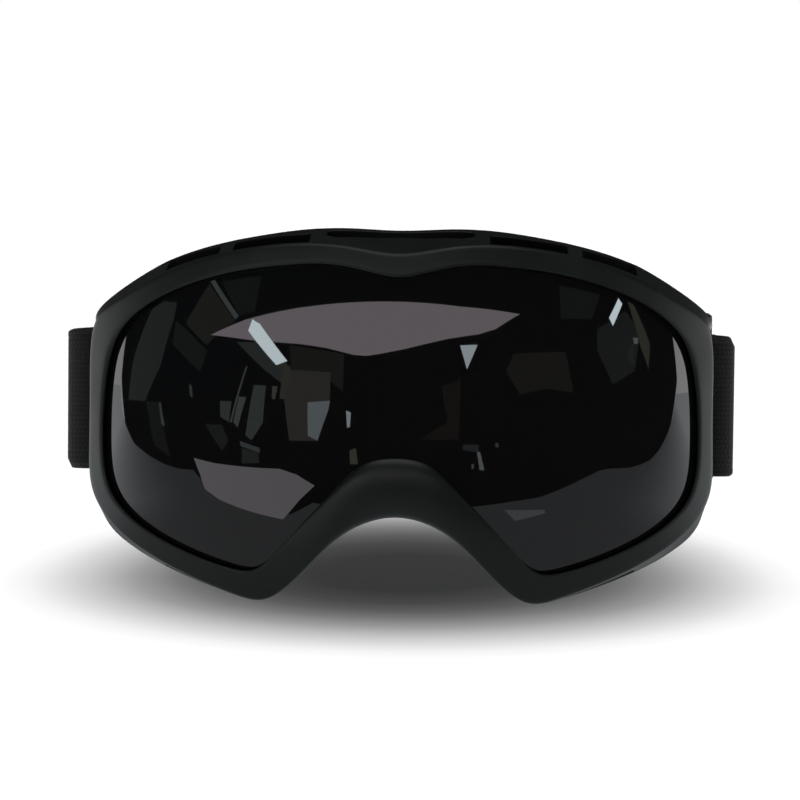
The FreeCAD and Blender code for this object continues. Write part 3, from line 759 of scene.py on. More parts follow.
# Places where the rows of the brow's and cheek's vents fade out, and their farthest shares there.
BROW_END = (6.1, 7.0)
CHEEK_ENDS = (13.3, 14.1, 16.9, 17.4)
ROW_LIMITS = tuple(0.5 + 0.045 * rank for rank in range(len(WALL_ROWS)))
# How far rows keep apart, as shares of the outer and inner wall.
ROW_GAP = 0.006
INNER_ROW_GAP = 0.005
# How far a hole's corners are drawn in.
CORNER_EASE = 0.3


@dataclass
class FrameShell:
    """The one-piece frame: bezel, lens groove, vented walls, brow scoop and face flange."""

    wall: float = 3.0
    groove_reach: float = 1.75
    crease_turn: float = 0.95
    arch_turn: float = 3.0
    lip_turn: float = 1.1
    side_lip_turn: float = 2.6
    lip_depth: float = 0.7
    side_lip_depth: float = 1.25
    bridge_lip_depth: float = 1.75
    bridge_turn: float = 5.5
    bridge_bulge: float = 1.3
    vent_front: float = 103.6
    vent_well: float = 99.3
    vent_rears: tuple[float, float] = (89.8, 91.9)
    vent_spans: tuple[tuple[float, float], ...] = ((25.0, 46.6), (50.7, 66.3))
    cheek_front: float = 98.0
    cheek_rear: float = 91.0
    cheek_angles: tuple[float, float] = (27.0, 39.0)
    scoop_half: float = 20.6
    slit_front_y: float = -15.6
    slit_rear_y: float = -12.6
    slit_flare: float = 3.0
    vent_ease: float = 1.3
    vent_lead: float = 0.7
    scoop_depth: float = 1.0
    notch_half: float = 20.4
    notch_x: float = 85.2
    notch_y: float = 9.6
    top_pitch: float = 1.7
    side_pitch: float = 2.3
    hole_gap: float = 0.07
    notch_gap: float = 0.03
    narrowest: float = 0.12

    def __post_init__(self) -> None:
        """Lay out the outlines and the columns."""
        front, rear = whole(CREASE_HALF), whole(FLANGE_HALF)
        self.crease = Outline(front)
        knots = self.crease.steps
        self.flange = Outline(rear, knots)
        self.inner_crease = Outline(grown(front, -self.wall), knots)
        self.inner_flange = Outline(grown(rear, -self.wall), knots)
        self.window = Outline(whole(WINDOW_HALF))
        self.groove = Outline(grown(whole(WINDOW_HALF), self.groove_reach))
        self.face = Outline(whole(FACE_HALF))
        self.names: list[str] = []
        self.places = self.columns()

    def angle_at(self, place: np.ndarray) -> np.ndarray:
        """Angle of the crease about the lens axis, in degrees."""
        points = self.crease.at(place)
        return np.degrees(np.arctan2(points[:, 0], LENS_AXIS - BEZEL.depth(*points.T)))

    def columns(self) -> np.ndarray:
        """Places of the columns: even on the whole, and close at every hole's ends.

        Returns:
            One place for each column, all the way round.
        """
        top = np.linspace(0.0, 8.0, 1600)
        low = np.linspace(17.0, 12.5, 900)
        sides = np.linspace(8.0, 13.0, 1000)
        spans = [self.scoop_half, *sum(self.vent_spans, ())]
        self.ends = np.interp(spans, self.crease.at(top)[:, 0], top)
        self.lows = sorted(np.interp(self.cheek_angles, self.angle_at(low), low))
        heights = self.flange.at(sides)[:, 1]
        notch = [float(np.interp(-self.notch_half * sign, -heights, sides)) for sign in (1, -1)]
        stops: list[float] = [0.0]
        hard = [(end, self.hole_gap) for end in (*self.ends, *self.lows)]
        hard += [(end, self.notch_gap) for end in notch]
        for end, gap in sorted(hard):
            stops.extend((end - gap, end, end + gap))
        stops.append(HALF)
        half: list[float] = []
        for start, stop in zip(stops, stops[1:]):
            first, last = self.crease.at(np.array([start, stop]))
            pitch = self.top_pitch if start < 8 else self.side_pitch
            count = max(1, round(float(np.linalg.norm(last - first)) / pitch))
            count = count if stop - start > self.narrowest else 1
            half.extend(np.linspace(start, stop, count, endpoint=False))
        left = STATIONS - np.array(half)[:0:-1]
        return np.concatenate([half, [HALF], left])

    def abreast(self, outline: Outline, place: np.ndarray) -> np.ndarray:
        """Places of another outline, straight behind the crease beside the brow vents.

        Args:
            outline: Outline to find the places on.
            place: Places of the columns.

        Returns:
            Places of that outline.
        """
        fold = folded(place)
        share = np.interp(fold, *BROW_SHARE)
        dense = np.linspace(0.0, 9.0, 1800)
        across = outline.at(dense)[:, 0]
        top = int(np.argmax(across))
        wanted = mix(np.abs(outline.at(place)), np.abs(self.crease.at(place)), share)[:, 0]
        found = np.interp(wanted, across[:top], dense[:top])
        found = np.where(share > 0, found, fold)
        return np.where(np.mod(place, STATIONS) <= HALF, found, STATIONS - found)

    def build(self) -> bpy.types.Object:
        """Make the shell.

        Returns:
            The piece that stands for the CAD frame.
        """
        rows = self.rows()
        mesh = skin(rows, True, True)
        self.open_holes(mesh)
        piece = hang("frame_shell", mesh, SHELL, "frame")
        # Second material: the painted shade for the vents' inner walls.
        piece.data.materials.append(VENT_SHADE.make())
        subdivide(piece, 1)
        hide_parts("frame")
        return piece

    def rows(self) -> np.ndarray:
        """Rows of points round the section: lip, bezel, wall, flange, chamber, seat and groove.

        Returns:
            Points by row and column, in millimetres.
        """
        place = self.places
        fold = folded(place)
        lean = self.abreast(self.flange, place)
        edge = self.window.at(place)
        crease = self.crease.at(place)
        crease_3 = lift(crease, BEZEL)
        flange_3 = lift(self.flange.at(lean), FLANGE_BACK)
        lip_3 = lift(edge, BEZEL)
        nose = np.interp(fold, *NOSE_SHARE)
        length = np.linalg.norm(crease_3 - lip_3, axis=1)
        bulge = self.bridge_bulge * nose

        def bezel(share: float | np.ndarray) -> np.ndarray:
            """Row across the bezel face, bulged over the nose.

            Args:
                share: Share of the way from the window to the crease.

            Returns:
                Points of the row.
            """
            points = mix(edge, crease, share)
            share = np.broadcast_to(np.asarray(share, dtype=float), fold.shape)
            return lift(points, BEZEL, -bulge * np.sin(np.pi * np.clip(share, 0, 1)) ** 0.8)

        side = np.interp(fold, *SIDE_SHARE)
        lip_turn = self.lip_turn + (self.side_lip_turn - self.lip_turn) * side
        lip_share = (lip_turn + (self.bridge_turn - lip_turn) * nose) / length
        crease_turn = self.crease_turn + (self.arch_turn - self.crease_turn) * nose
        crease_share = 1 - crease_turn / length
        lip_depth = self.lip_depth + (self.side_lip_depth - self.lip_depth) * side
        lip_depth = lip_depth + (self.bridge_lip_depth - lip_depth) * nose
        lip_in = lift(edge, BEZEL, lip_depth)
        lip_out = bezel(lip_share)
        crease_in = bezel(crease_share)
        steps = self.wall_steps(place, crease_3, flange_3, crease_turn)
        crease_out = mix(crease_3, flange_3, steps["crease_out"])
        out = [
            ("groove_lip", lift(edge, GROOVE_FRONT)),
            ("lip_in", lip_in),
            ("lip_turn", rounded(lip_in, lip_3, lip_out, 0.5 - 0.36 * side)),
            ("lip_out", lip_out),
            *((f"bezel_{share}", bezel(lip_share + (crease_share - lip_share) * share))
              for share in (0.35, 0.68)),
            ("crease_in", crease_in),
            ("crease_turn", rounded(crease_in, crease_3, crease_out)),
            ("crease_out", crease_out),
        ]
        for name in list(steps)[1:]:
            out.append((name, self.outer_point(name, mix(crease_3, flange_3, steps[name]), place)))
        flange_3 = self.notched(flange_3)
        face = self.face.at(face_place(lean))
        opening_back = lift(face, FLANGE_BACK)
        opening_front = lift(face, CHAMBER_BACK)
        groove = self.groove.at(place)
        out += [
            ("flange_turn", rounded(out[-1][1], flange_3, mix(flange_3, opening_back, 0.08))),
            ("flange_in", mix(flange_3, opening_back, 0.1)),
            ("opening_back", mix(flange_3, opening_back, 0.93)),
            ("opening_turn", mix(opening_back, opening_front, 0.3)),
            ("opening_front", opening_front),
            *self.inner_rows(place, lean, steps, opening_front),
            ("seat_edge", lift(edge, SEAT_BACK, -0.3)),
            ("groove_edge", lift(edge, GROOVE_BACK)),
            ("groove_back", lift(groove, GROOVE_BACK)),
            ("groove_front", lift(groove, GROOVE_FRONT)),
        ]
        self.names = [name for name, _ in out]
        return np.stack([points for _, points in out])

    def wall_steps(self, place: np.ndarray, start: np.ndarray, end: np.ndarray,
                   turn: np.ndarray) -> dict[str, np.ndarray]:
        """Where the rows of the outer wall lie.

        Args:
            place: Places of the columns.
            start: The front crease there.
            end: The rear flange there.
            turn: How far the crease's rounding reaches.

        Returns:
            Shares of the way from crease to flange, by row name, in order.
        """
        fold = folded(place)
        length = np.linalg.norm(end - start, axis=1)
        sets = {
            "scoop": self.scoop_steps(start, end),
            "cheek": self.cheek_steps(fold, start, end),
            "arch": {name: 0.1 + 0.09 * i for i, name in enumerate(WALL_ROWS)},
            "plain": self.plain_steps(start, end),
        }
        weights = {
            "scoop": np.interp(
                fold, (0, self.ends[0] + self.hole_gap, self.ends[1] - 0.2), (1, 1, 0)),
            "cheek": np.interp(fold, *CHEEK_SHARE),
            "arch": np.interp(fold, *ARCH_SHARE),
            "plain": np.interp(fold, *PLAIN_SHARE),
        }
        weights["brow"] = 1 - sum(weights.values())
        sets["brow"] = self.brow_steps(fold, start, end)
        last = turn / length
        steps = {"crease_out": last}
        for name in WALL_ROWS:
            share = sum(weights[kind] * sets[kind][name] for kind in sets)
            last = np.maximum(share, last + ROW_GAP)
            steps[name] = last
        steps["flange_lead"] = np.maximum(1 - 0.9 / length, last + ROW_GAP)
        return steps

    def plain_steps(self, start: np.ndarray, end: np.ndarray) -> dict[str, np.ndarray]:
        """Rows of the side wall, close together at the strap notch's front.

        Args:
            start: The front crease at the columns.
            end: The rear flange there.

        Returns:
            Shares of the way from crease to flange, by row name.
        """
        notch = share_at_depth(start, end, self.notch_y)
        shares = (0.12, 0.2, 0.26, 0.32, notch - 0.03, notch - 0.004, notch + 0.004,
                  notch + 0.06, 0.72, 0.84)
        return dict(zip(WALL_ROWS, shares))

    def brow_steps(self, fold: np.ndarray, start: np.ndarray,
                   end: np.ndarray) -> dict[str, np.ndarray]:
        """Rows of the brow wall, on the front and rear edges of its vents.

        Args:
            fold: Places of the columns, mirrored on to the right half.
            start: The front crease at the columns.
            end: The rear flange there.

        Returns:
            Shares of the way from crease to flange, by row name.
        """
        rear = np.interp(fold, self.ends[2:4], self.vent_rears)
        steps = self.slot_steps(start, end, self.vent_front, rear)
        trail = steps["slot_trail"]
        for name, share in zip(WALL_ROWS[6:], (0.35, 0.5, 0.68, 0.82)):
            steps[name] = trail + (1 - trail) * share
        for name, low in zip(WALL_ROWS, ROW_LIMITS):
            steps[name] = np.minimum(steps[name], np.interp(fold, BROW_END, (1.0, low)))
        return steps

    def cheek_steps(self, fold: np.ndarray, start: np.ndarray,
                    end: np.ndarray) -> dict[str, np.ndarray]:
        """Rows of the cheek wall, on the front and rear edges of its vent.

        Args:
            fold: Places of the columns, mirrored on to the right half.
            start: The front crease at the columns.
            end: The rear flange there.

        Returns:
            Shares of the way from crease to flange, by row name.
        """
        steps = self.slot_steps(start, end, self.cheek_front, self.cheek_rear)
        steps.update(zip(WALL_ROWS[6:], (0.74, 0.8, 0.85, 0.9)))
        for name, low in zip(WALL_ROWS, ROW_LIMITS):
            steps[name] = np.minimum(
                steps[name], np.interp(fold, CHEEK_ENDS, (low, 1.0, 1.0, low)))
        return steps

    def slot_steps(self, start: np.ndarray, end: np.ndarray, front: float,
                   rear: float | np.ndarray) -> dict[str, np.ndarray]:
        """Rows round a vent between two radii.

        Args:
            start: The front crease at the columns.
            end: The rear flange there.
            front: Radius of the vent's front edge.
            rear: Radius of its rear edge.

        Returns:
            Shares of the vent's six rows, by row name.
        """
        radii = (front + self.vent_lead, front, front - self.vent_ease, rear + self.vent_ease,
                 rear, rear - self.vent_lead)
        return {name: share_at_radius(start, end, radius)
                for name, radius in zip(WALL_ROWS, radii)}

    def scoop_steps(self, start: np.ndarray, end: np.ndarray) -> dict[str, np.ndarray]:
        """Rows of the scoop: a ridge at its front, its dish, and the slit behind.

        Args:
            start: The front crease at the columns.
            end: The rear flange there.

        Returns:
            Shares of the way from crease to flange, by row name.
        """
        across = np.abs(start[:, 0])
        slit_front = self.slit_front_y - self.slit_flare * np.interp(
            across, (0.0, self.scoop_half), (0.0, 1.0)) ** 2
        slit_lead = share_at_depth(start, end, slit_front - self.vent_lead)
        ridge = np.interp(across, (0, 6.5, 9.5, self.scoop_half),
                          (0.03, 0.035, 0.075, 0.0)) + np.interp(
            across, (9.5, self.scoop_half), (0.0, 1.0)) * (slit_lead - 0.035)
        run = slit_lead - ridge
        shares = (ridge - 0.02, ridge, ridge + np.minimum(0.035, run * 0.2), ridge + run * 0.3,
                  ridge + run * 0.5, ridge + run * 0.7, slit_lead,
                  share_at_depth(start, end, slit_front),
                  share_at_depth(start, end, self.slit_rear_y),
                  share_at_depth(start, end, self.slit_rear_y + self.vent_lead))
        return dict(zip(WALL_ROWS, shares))

    def outer_point(self, name: str, points: np.ndarray, place: np.ndarray) -> np.ndarray:
        """Sink the scoop's floor and the strap notch into a row of the wall.

        Args:
            name: Name of the row.
            points: Points of the row.
            place: Places of the columns.

        Returns:
            The row as sunk.
        """
        points = self.notched(points)
        across = np.abs(points[:, 0]) / self.scoop_half
        top = (folded(place) < 3.5) & (across <= 1.01)
        sunk = self.scoop_depth * SCOOP_SUNK.get(name, 0.0)
        depth = sunk * np.interp(across, *SCOOP_DISH)
        points = points.copy()
        points[:, 2] -= np.where(top, depth, 0.0)
        return points

    def notched(self, points: np.ndarray) -> np.ndarray:
        """Points of the side wall held in where the strap passes.

        Args:
            points: Points of one row.

        Returns:
            The row as held in.
        """
        points = points.copy()
        inside = (np.abs(points[:, 2]) < self.notch_half) & (points[:, 1] > self.notch_y)
        points[:, 0] = np.where(inside & (np.abs(points[:, 0]) > self.notch_x),
                                np.copysign(self.notch_x, points[:, 0]), points[:, 0])
        return points

    def inner_rows(self, place: np.ndarray, lean: np.ndarray, steps: dict[str, np.ndarray],
                   opening: np.ndarray) -> list[tuple[str, np.ndarray]]:
        """Rows of the chamber, from the face opening forward to the lens seat.

        Args:
            place: Places of the columns.
            lean: Places of the rear flange beside them.
            steps: Shares of the outer wall's rows, by row name.
            opening: Front edge of the face opening.

        Returns:
            Names and points of the rows, in order.
        """
        outer_front = lift(self.crease.at(place), BEZEL)
        outer_rear = lift(self.flange.at(lean), FLANGE_BACK)
        near = self.inner_crease.at(self.abreast(self.inner_crease, place))
        far = self.inner_flange.at(self.abreast(self.inner_flange, place))
        front = np.stack([near[:, 0], outer_front[:, 1], near[:, 1]], axis=1)
        rear = np.stack([far[:, 0], outer_rear[:, 1], far[:, 1]], axis=1)

        def meet(surface: Barrel) -> np.ndarray:
            """Share at which the inner wall meets a surface.

            Args:
                surface: Surface to meet.

            Returns:
                One share for each column.
            """
            share = np.full(len(place), 0.5)
            for _ in range(12):
                points = mix(front, rear, share)
                depth = surface.depth(points[:, 0], points[:, 2])
                share = (depth - front[:, 1]) / (rear[:, 1] - front[:, 1])
            return share

        seat, back = meet(SEAT_BACK), meet(CHAMBER_BACK)
        room = back - seat
        well = share_at_radius(front, rear, self.vent_well)
        fold = folded(place)
        brow = np.interp(fold, (self.ends[0] + 0.2, self.ends[1], 7.0, 8.0), (0, 1, 1, 0))
        slot_front = np.maximum(well * brow + steps["slot_front"] * (1 - brow), seat + 0.12 * room)
        limit = seat + 0.9 * room
        shares = {
            "chamber_turn": seat + 0.96 * room,
            "in_slit_rear": np.clip(steps["slit_rear"], seat + 0.75 * room, limit),
            "in_slit_front": np.clip(steps["slit_front"], seat + 0.6 * room, limit - 0.1 * room),
            "in_slot_rear": np.clip(steps["slot_rear"], seat + 0.35 * room, seat + 0.8 * room),
        }
        shares["in_slot_front"] = np.minimum(slot_front, shares["in_slot_rear"] - 0.1 * room)
        gap = shares["in_slot_rear"] - shares["in_slot_front"]
        shares["in_slot_mid"] = shares["in_slot_front"] + 0.2 * gap
        shares["in_slot_deep"] = shares["in_slot_rear"] - 0.2 * gap
        shares["seat_turn"] = seat + 0.03 * room
        out = [("chamber_floor", mix(opening, mix(front, rear, back), 0.85))]
        last = np.full(len(place), np.inf)
        for name in ("chamber_turn", "in_slit_rear", "in_slit_front", "in_slot_rear",
                     "in_slot_deep", "in_slot_mid", "in_slot_front", "seat_turn"):
            last = np.minimum(shares[name], last - INNER_ROW_GAP)
            out.append((name, mix(front, rear, last)))
        seat_points = mix(front, rear, seat)
        edge = lift(self.window.at(place), SEAT_BACK)
        out.append(("seat_back", mix(seat_points, edge, 0.15)))
        out.append(("seat_rim", mix(seat_points, edge, 0.9)))
        return out

    def open_holes(self, mesh: bmesh.types.BMesh) -> None:
        """Cut the vents and the scoop's slit through both walls and join their rims.

        Args:
            mesh: The shell.
        """
        for start, end in (*zip(self.ends[1::2], self.ends[2::2]), self.lows):
            self.open_hole(mesh, "slot", start, end)
            self.open_hole(mesh, "slot", STATIONS - end, STATIONS - start)
        self.open_hole(mesh, "slit", STATIONS - self.ends[0], STATIONS + self.ends[0])

    def open_hole(self, mesh: bmesh.types.BMesh, kind: str, start: float, end: float) -> None:
        """Cut one hole between two places.

        Args:
            mesh: The shell.
            kind: Row name stem, slot or slit.
            start: Place of one end.
            end: Place of the other.
        """
        count = len(self.places)
        first, last = (int(np.argmin(np.abs(self.places - place % STATIONS)))
                       for place in (start, end))
        last += count if last <= first else 0
        wanted = {column % count for column in range(first, last)}
        outer = range(self.names.index(f"{kind}_front"), self.names.index(f"{kind}_rear"))
        inner = range(self.names.index(f"in_{kind}_rear"), self.names.index(f"in_{kind}_front"))
        row_layer = mesh.faces.layers.int["row"]
        column_layer = mesh.faces.layers.int["column"]
        rims = []
        for band in (outer, inner):
            faces = [face for face in mesh.faces
                     if face[row_layer] in band and face[column_layer] in wanted]
            inside = set(faces)
            rim = [edge for face in faces for edge in face.edges
                   if any(other not in inside for other in edge.link_faces)]
            keep = list(dict.fromkeys(rim))
            self.round_corners(faces, keep)
            rims.append(keep)
            bmesh.ops.delete(mesh, geom=faces, context="FACES")
        rims = [[edge for edge in rim if edge.is_valid] for rim in rims]
        made = bmesh.ops.bridge_loops(mesh, edges=rims[0] + rims[1])
        for face in made["faces"]:
            face.smooth = True
            # The vents' inner walls take the second material, the painted shade.
            face.material_index = 1
            face[row_layer] = -1
        across = [edge for face in made["faces"] for edge in face.edges
                  if all(other in made["faces"] for other in edge.link_faces)]
        across = list(dict.fromkeys(across))
        bmesh.ops.subdivide_edges(mesh, edges=across, cuts=2, use_grid_fill=False)

    @staticmethod
    def round_corners(faces: list[bmesh.types.BMFace], rim: list[bmesh.types.BMEdge]) -> None:
        """Ease the four corners of a region that is about to be cut out.

        Args:
            faces: Faces of the region.
            rim: Edges round it.
        """
        inside = set(faces)
        touch: dict[bmesh.types.BMVert, list[bmesh.types.BMVert]] = {}
        for edge in rim:
            for vert in edge.verts:
                touch.setdefault(vert, []).append(edge.other_vert(vert))
        moves = {}
        for vert, others in touch.items():
            if sum(face in inside for face in vert.link_faces) == 1 and len(others) == 2:
                moves[vert] = vert.co.lerp((others[0].co + others[1].co) / 2, CORNER_EASE)
        for vert, spot in moves.items():
            vert.co = spot


@dataclass
class StrapAnchor:
    """Upright strap bar on two arms that reach back from the side wall."""

    side: str
    sign: int
    bar_x: float = 88.9
    bar_y: float = 16.9
    radius: float = 1.3
    half: float = 20.4
    arm_height: float = 2.5
    arm_front: float = 8.0
    arm_x: float = 87.6
    arm_width: float = 1.2
    arm_edge: float = 0.45
    overlap: float = 0.3

    def build(self) -> bpy.types.Object:
        """Make the bar and its arms as one piece.

        Returns:
            The piece.
        """
        mesh = bmesh.new()
        depth = self.bar_y + self.radius - self.arm_front
        middle = self.arm_front + depth / 2
        for low in (self.half, -self.half - self.arm_height):
            centre = Vector((self.sign * self.arm_x, middle, low + self.arm_height / 2)) * MM
            size = Matrix.Diagonal((self.arm_width * MM, depth * MM, self.arm_height * MM, 1.0))
            made = bmesh.ops.create_cube(mesh, size=1.0, matrix=Matrix.Translation(centre) @ size)
            edges = list(dict.fromkeys(
                edge for vert in made["verts"] for edge in vert.link_edges))
            bmesh.ops.bevel(mesh, geom=edges, offset=self.arm_edge * MM, segments=3, profile=0.5,
                            affect="EDGES", material=-1)
        centre = Vector((self.sign * self.bar_x, self.bar_y, 0.0)) * MM
        bmesh.ops.create_cone(mesh, cap_ends=True, segments=32, radius1=self.radius * MM,
                              radius2=self.radius * MM, depth=2 * (self.half + self.overlap) * MM,
                              matrix=Matrix.Translation(centre))
        for face in mesh.faces:
            face.smooth = len(face.verts) < 8
        return hang(f"strap_anchor_{self.side}", mesh, SHELL, "frame")


# --- lens ----------------------------------------------------------------------------------

@dataclass
class Lens:
    """Toric lens, cut to the window and held by its edge."""

    edge: float = 1.5
    pitch: float = 1.5
    half_width: float = 89.0
    low: float = -48.0
    high: float = 45.0
    cut_depths: tuple[float, float] = (-60.0, 40.0)
    sharp_angle: float = 35.0

    def build(self) -> bpy.types.Object:
        """Cut the lens from a curved blank.

        Returns:
            The piece that stands for the CAD lens.
        """
        across = np.arange(-self.half_width, self.half_width + 0.1, self.pitch)
        up = np.arange(self.low, self.high + 0.1, self.pitch)
        x, z = np.meshgrid(across, up)
        front = np.stack([x, LENS_FRONT.depth(x, z), z], axis=-1)
        back = np.stack([x, LENS_BACK.depth(x, z), z], axis=-1)
        blank = self.joined(skin(front, False, False), skin(back, False, False))
        piece = hang("lens_visor", blank, LENS, None)
        cutter = hang("lens_cutter", self.cutter(), LENS, None)
        cut = piece.modifiers.new("cut", "BOOLEAN")
        cut.operation = "INTERSECT"
        cut.solver = "EXACT"
        cut.object = cutter
        graph = bpy.context.evaluated_depsgraph_get()
        data = bpy.data.meshes.new_from_object(piece.evaluated_get(graph))
        piece.modifiers.clear()
        piece.data = data
        bpy.data.objects.remove(cutter)
        data.set_sharp_from_angle(angle=math.radians(self.sharp_angle))
        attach(piece, "frame")
        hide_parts("lens")
        return piece

    @staticmethod
    def joined(front: bmesh.types.BMesh, back: bmesh.types.BMesh) -> bmesh.types.BMesh:
        """Two sheets joined at their rims into one closed blank.

        Args:
            front: Front sheet.
            back: Back sheet, which is freed.

        Returns:
            The blank.
        """
        spare = bpy.data.meshes.new("spare")
        back.to_mesh(spare)
        back.free()
        front.from_mesh(spare)
        bpy.data.meshes.remove(spare)
        rim = [edge for edge in front.edges if edge.is_boundary]
        bmesh.ops.bridge_loops(front, edges=rim)
        return front

    def cutter(self) -> bmesh.types.BMesh:
        """Prism of the lens outline.

        Returns:
            Closed prism that holds the lens and its edge.
        """
        outline = Outline(grown(whole(WINDOW_HALF), self.edge))
        points = outline.at(np.arange(0.0, STATIONS, 0.1))
        rows = np.stack([np.stack([points[:, 0], np.full(len(points), depth), points[:, 1]], axis=1)
                         for depth in self.cut_depths])
        mesh = skin(rows, False, True)
        close_ends(mesh)
        return mesh


# --- foam ----------------------------------------------------------------------------------

@dataclass
class FoamRing:
    """One layer of the ring of foam that rests on the face."""

    node: str
    front: Barrel
    back: Barrel
    finish: Finish
    inset: float = 1.3
    strap_clear: float = 85.3
    strap_ends: tuple[float, float] = (20.2, 23.0)
    widest: float = 95.0
    turn: float = 0.7
    crown: float = 0.35
    corner: float = 0.3
    flat: float = 0.35
    ripple: float = 0.12
    ripple_scales: tuple[float, float] = (260.0, 700.0)
    fill: float = 0.8

    def build(self) -> bpy.types.Object:
        """Make the layer with soft corners and slightly uneven cut sides.

        Returns:
            The piece that stands for the CAD layer.
        """
        place = np.linspace(0.0, STATIONS, 300, endpoint=False)
        knots = Outline(whole(CREASE_HALF)).steps
        outer = Outline(grown(whole(FLANGE_HALF), -self.inset), knots).at(place)
        most = np.interp(np.abs(outer[:, 1]), self.strap_ends, (self.strap_clear, self.widest))
        outer[:, 0] = np.clip(outer[:, 0], -most, most)
        inner = Outline(whole(FACE_HALF)).at(face_place(place))
        width = np.linalg.norm(inner - outer, axis=1)
        thick = self.back.depth(0.0, 0.0) - self.front.depth(0.0, 0.0)
        turn_across, turn_deep = self.turn / width, self.turn / thick
        hump = self.crown / width
        near_across, near_deep = self.corner * turn_across, self.corner * turn_deep
        side = [
            (turn_across, 0.0), (near_across, near_deep), (0.0, turn_deep), (-hump, 0.5),
            (0.0, 1 - turn_deep), (near_across, 1 - near_deep), (turn_across, 1.0),
            (self.flat, 1.0),
        ]
        bends = [*side, *((1 - across, deep) for across, deep in side[::-1]),
                 (1 - self.flat, 0.0), (self.flat, 0.0)]
        rows = []
        for across, deep in bends:
            points = mix(outer, inner, np.broadcast_to(across, width.shape))
            near = self.front.depth(points[:, 0], points[:, 1])
            far = self.back.depth(points[:, 0], points[:, 1])
            depth = near + (far - near) * deep
            rows.append(np.stack([points[:, 0], depth, points[:, 1]], axis=1))
        mesh = skin(np.stack(rows), True, True)
        bmesh.ops.recalc_face_normals(mesh, faces=mesh.faces[:])
        coarse, fine = self.ripple_scales
        for vert in mesh.verts:
            wave = noise.noise(vert.co * coarse) + 0.5 * noise.noise(vert.co * fine)
            vert.co += vert.normal * (wave * self.ripple * MM)
        piece = hang(f"{self.node}_pad", mesh, self.finish, "frame")
        subdivide(piece, 1)
        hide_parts(self.node)
        return piece


@dataclass
class VentFoam:
    """Thin filter foam behind one vent, cut from the CAD pad with softened edges."""

    node: str
    edge: float = 0.35

    def build(self) -> bpy.types.Object:
        """Soften a copy of the pad's outline.

        Returns:
            The piece that stands for the CAD pad.
        """
        mesh = solid_copy(self.node)
        soften(mesh, self.edge, 2, 35.0)
        piece = hang(f"{self.node}_pad", mesh, VENT_FOAM, "frame")
        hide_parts(self.node)
        return piece


def solid_copy(node: str) -> bmesh.types.BMesh:
    """Merged copy of a CAD node's mesh with its flat faces whole again.

    Args:
        node: Name of the node.

    Returns:
        The copy, where the node stands at rest.
    """
    mesh = bmesh.new()
    mesh.from_mesh(frame["nodes"][node].data)
    mesh.transform(frame["nodes"][node].matrix_world)
    bmesh.ops.remove_doubles(mesh, verts=mesh.verts[:], dist=1e-6)
    bmesh.ops.dissolve_limit(mesh, angle_limit=math.radians(2.0), use_dissolve_boundaries=False,
                             verts=mesh.verts[:], edges=mesh.edges[:])
    return mesh


def soften(mesh: bmesh.types.BMesh, size: float, segments: int, angle: float) -> None:
    """Bevel every edge that turns more than an angle.

    Args:
        mesh: Mesh to soften.
        size: Width of the bevel, in millimetres.
        segments: Steps across the bevel.
        angle: The least turn, in degrees.
    """
    limit = math.radians(angle)
    edges = [edge for edge in mesh.edges
             if len(edge.link_faces) == 2 and edge.calc_face_angle(0.0) > limit]
    bmesh.ops.bevel(mesh, geom=edges, offset=size * MM, segments=segments, profile=0.5,
                    affect="EDGES", material=-1, clamp_overlap=True)
    for face in mesh.faces:
        face.smooth = True


# --- strap ---------------------------------------------------------------------------------

class Path:
    """Line seen from above, of straight runs and turns, with its headings."""

    def __init__(self, start: tuple[float, float], heading: float) -> None:
        """Start the line.

        Args:
            start: First point, x and y.
            heading: Direction in degrees from +X.
        """
        self.points = [np.array(start, dtype=float)]
        self.angles = [math.radians(heading)]

    def run(self, length: float, pitch: float = 1.5) -> "Path":
        """Go straight on.

        Args:
            length: How far.
            pitch: Distance between points, about.

        Returns:
            The path itself.
        """
        count = max(1, round(length / pitch))
        step = np.array([math.cos(self.angles[-1]), math.sin(self.angles[-1])]) * length / count
        for _ in range(count):
            self.points.append(self.points[-1] + step)
            self.angles.append(self.angles[-1])
        return self

    def turn(self, radius: float, degrees: float, pitch: float = 1.2) -> "Path":
        """Turn along an arc, to the left when positive.

        Args:
            radius: Radius of the arc.
            degrees: How far round.
            pitch: Distance between points, about.

        Returns:
            The path itself.
        """
        spin = math.radians(degrees)
        count = max(6, round(abs(spin) * radius / pitch))
        way = math.copysign(1.0, spin)
        start, angle = self.points[-1], self.angles[-1]
        normal = np.array([-math.sin(angle), math.cos(angle)])
        centre = start + normal * radius * way
        for i in range(1, count + 1):
            part = spin * i / count
            turned = np.array([[math.cos(part), -math.sin(part)], [math.sin(part), math.cos(part)]])
            self.points.append(centre + turned @ (start - centre))
            self.angles.append(angle + part)
        return self


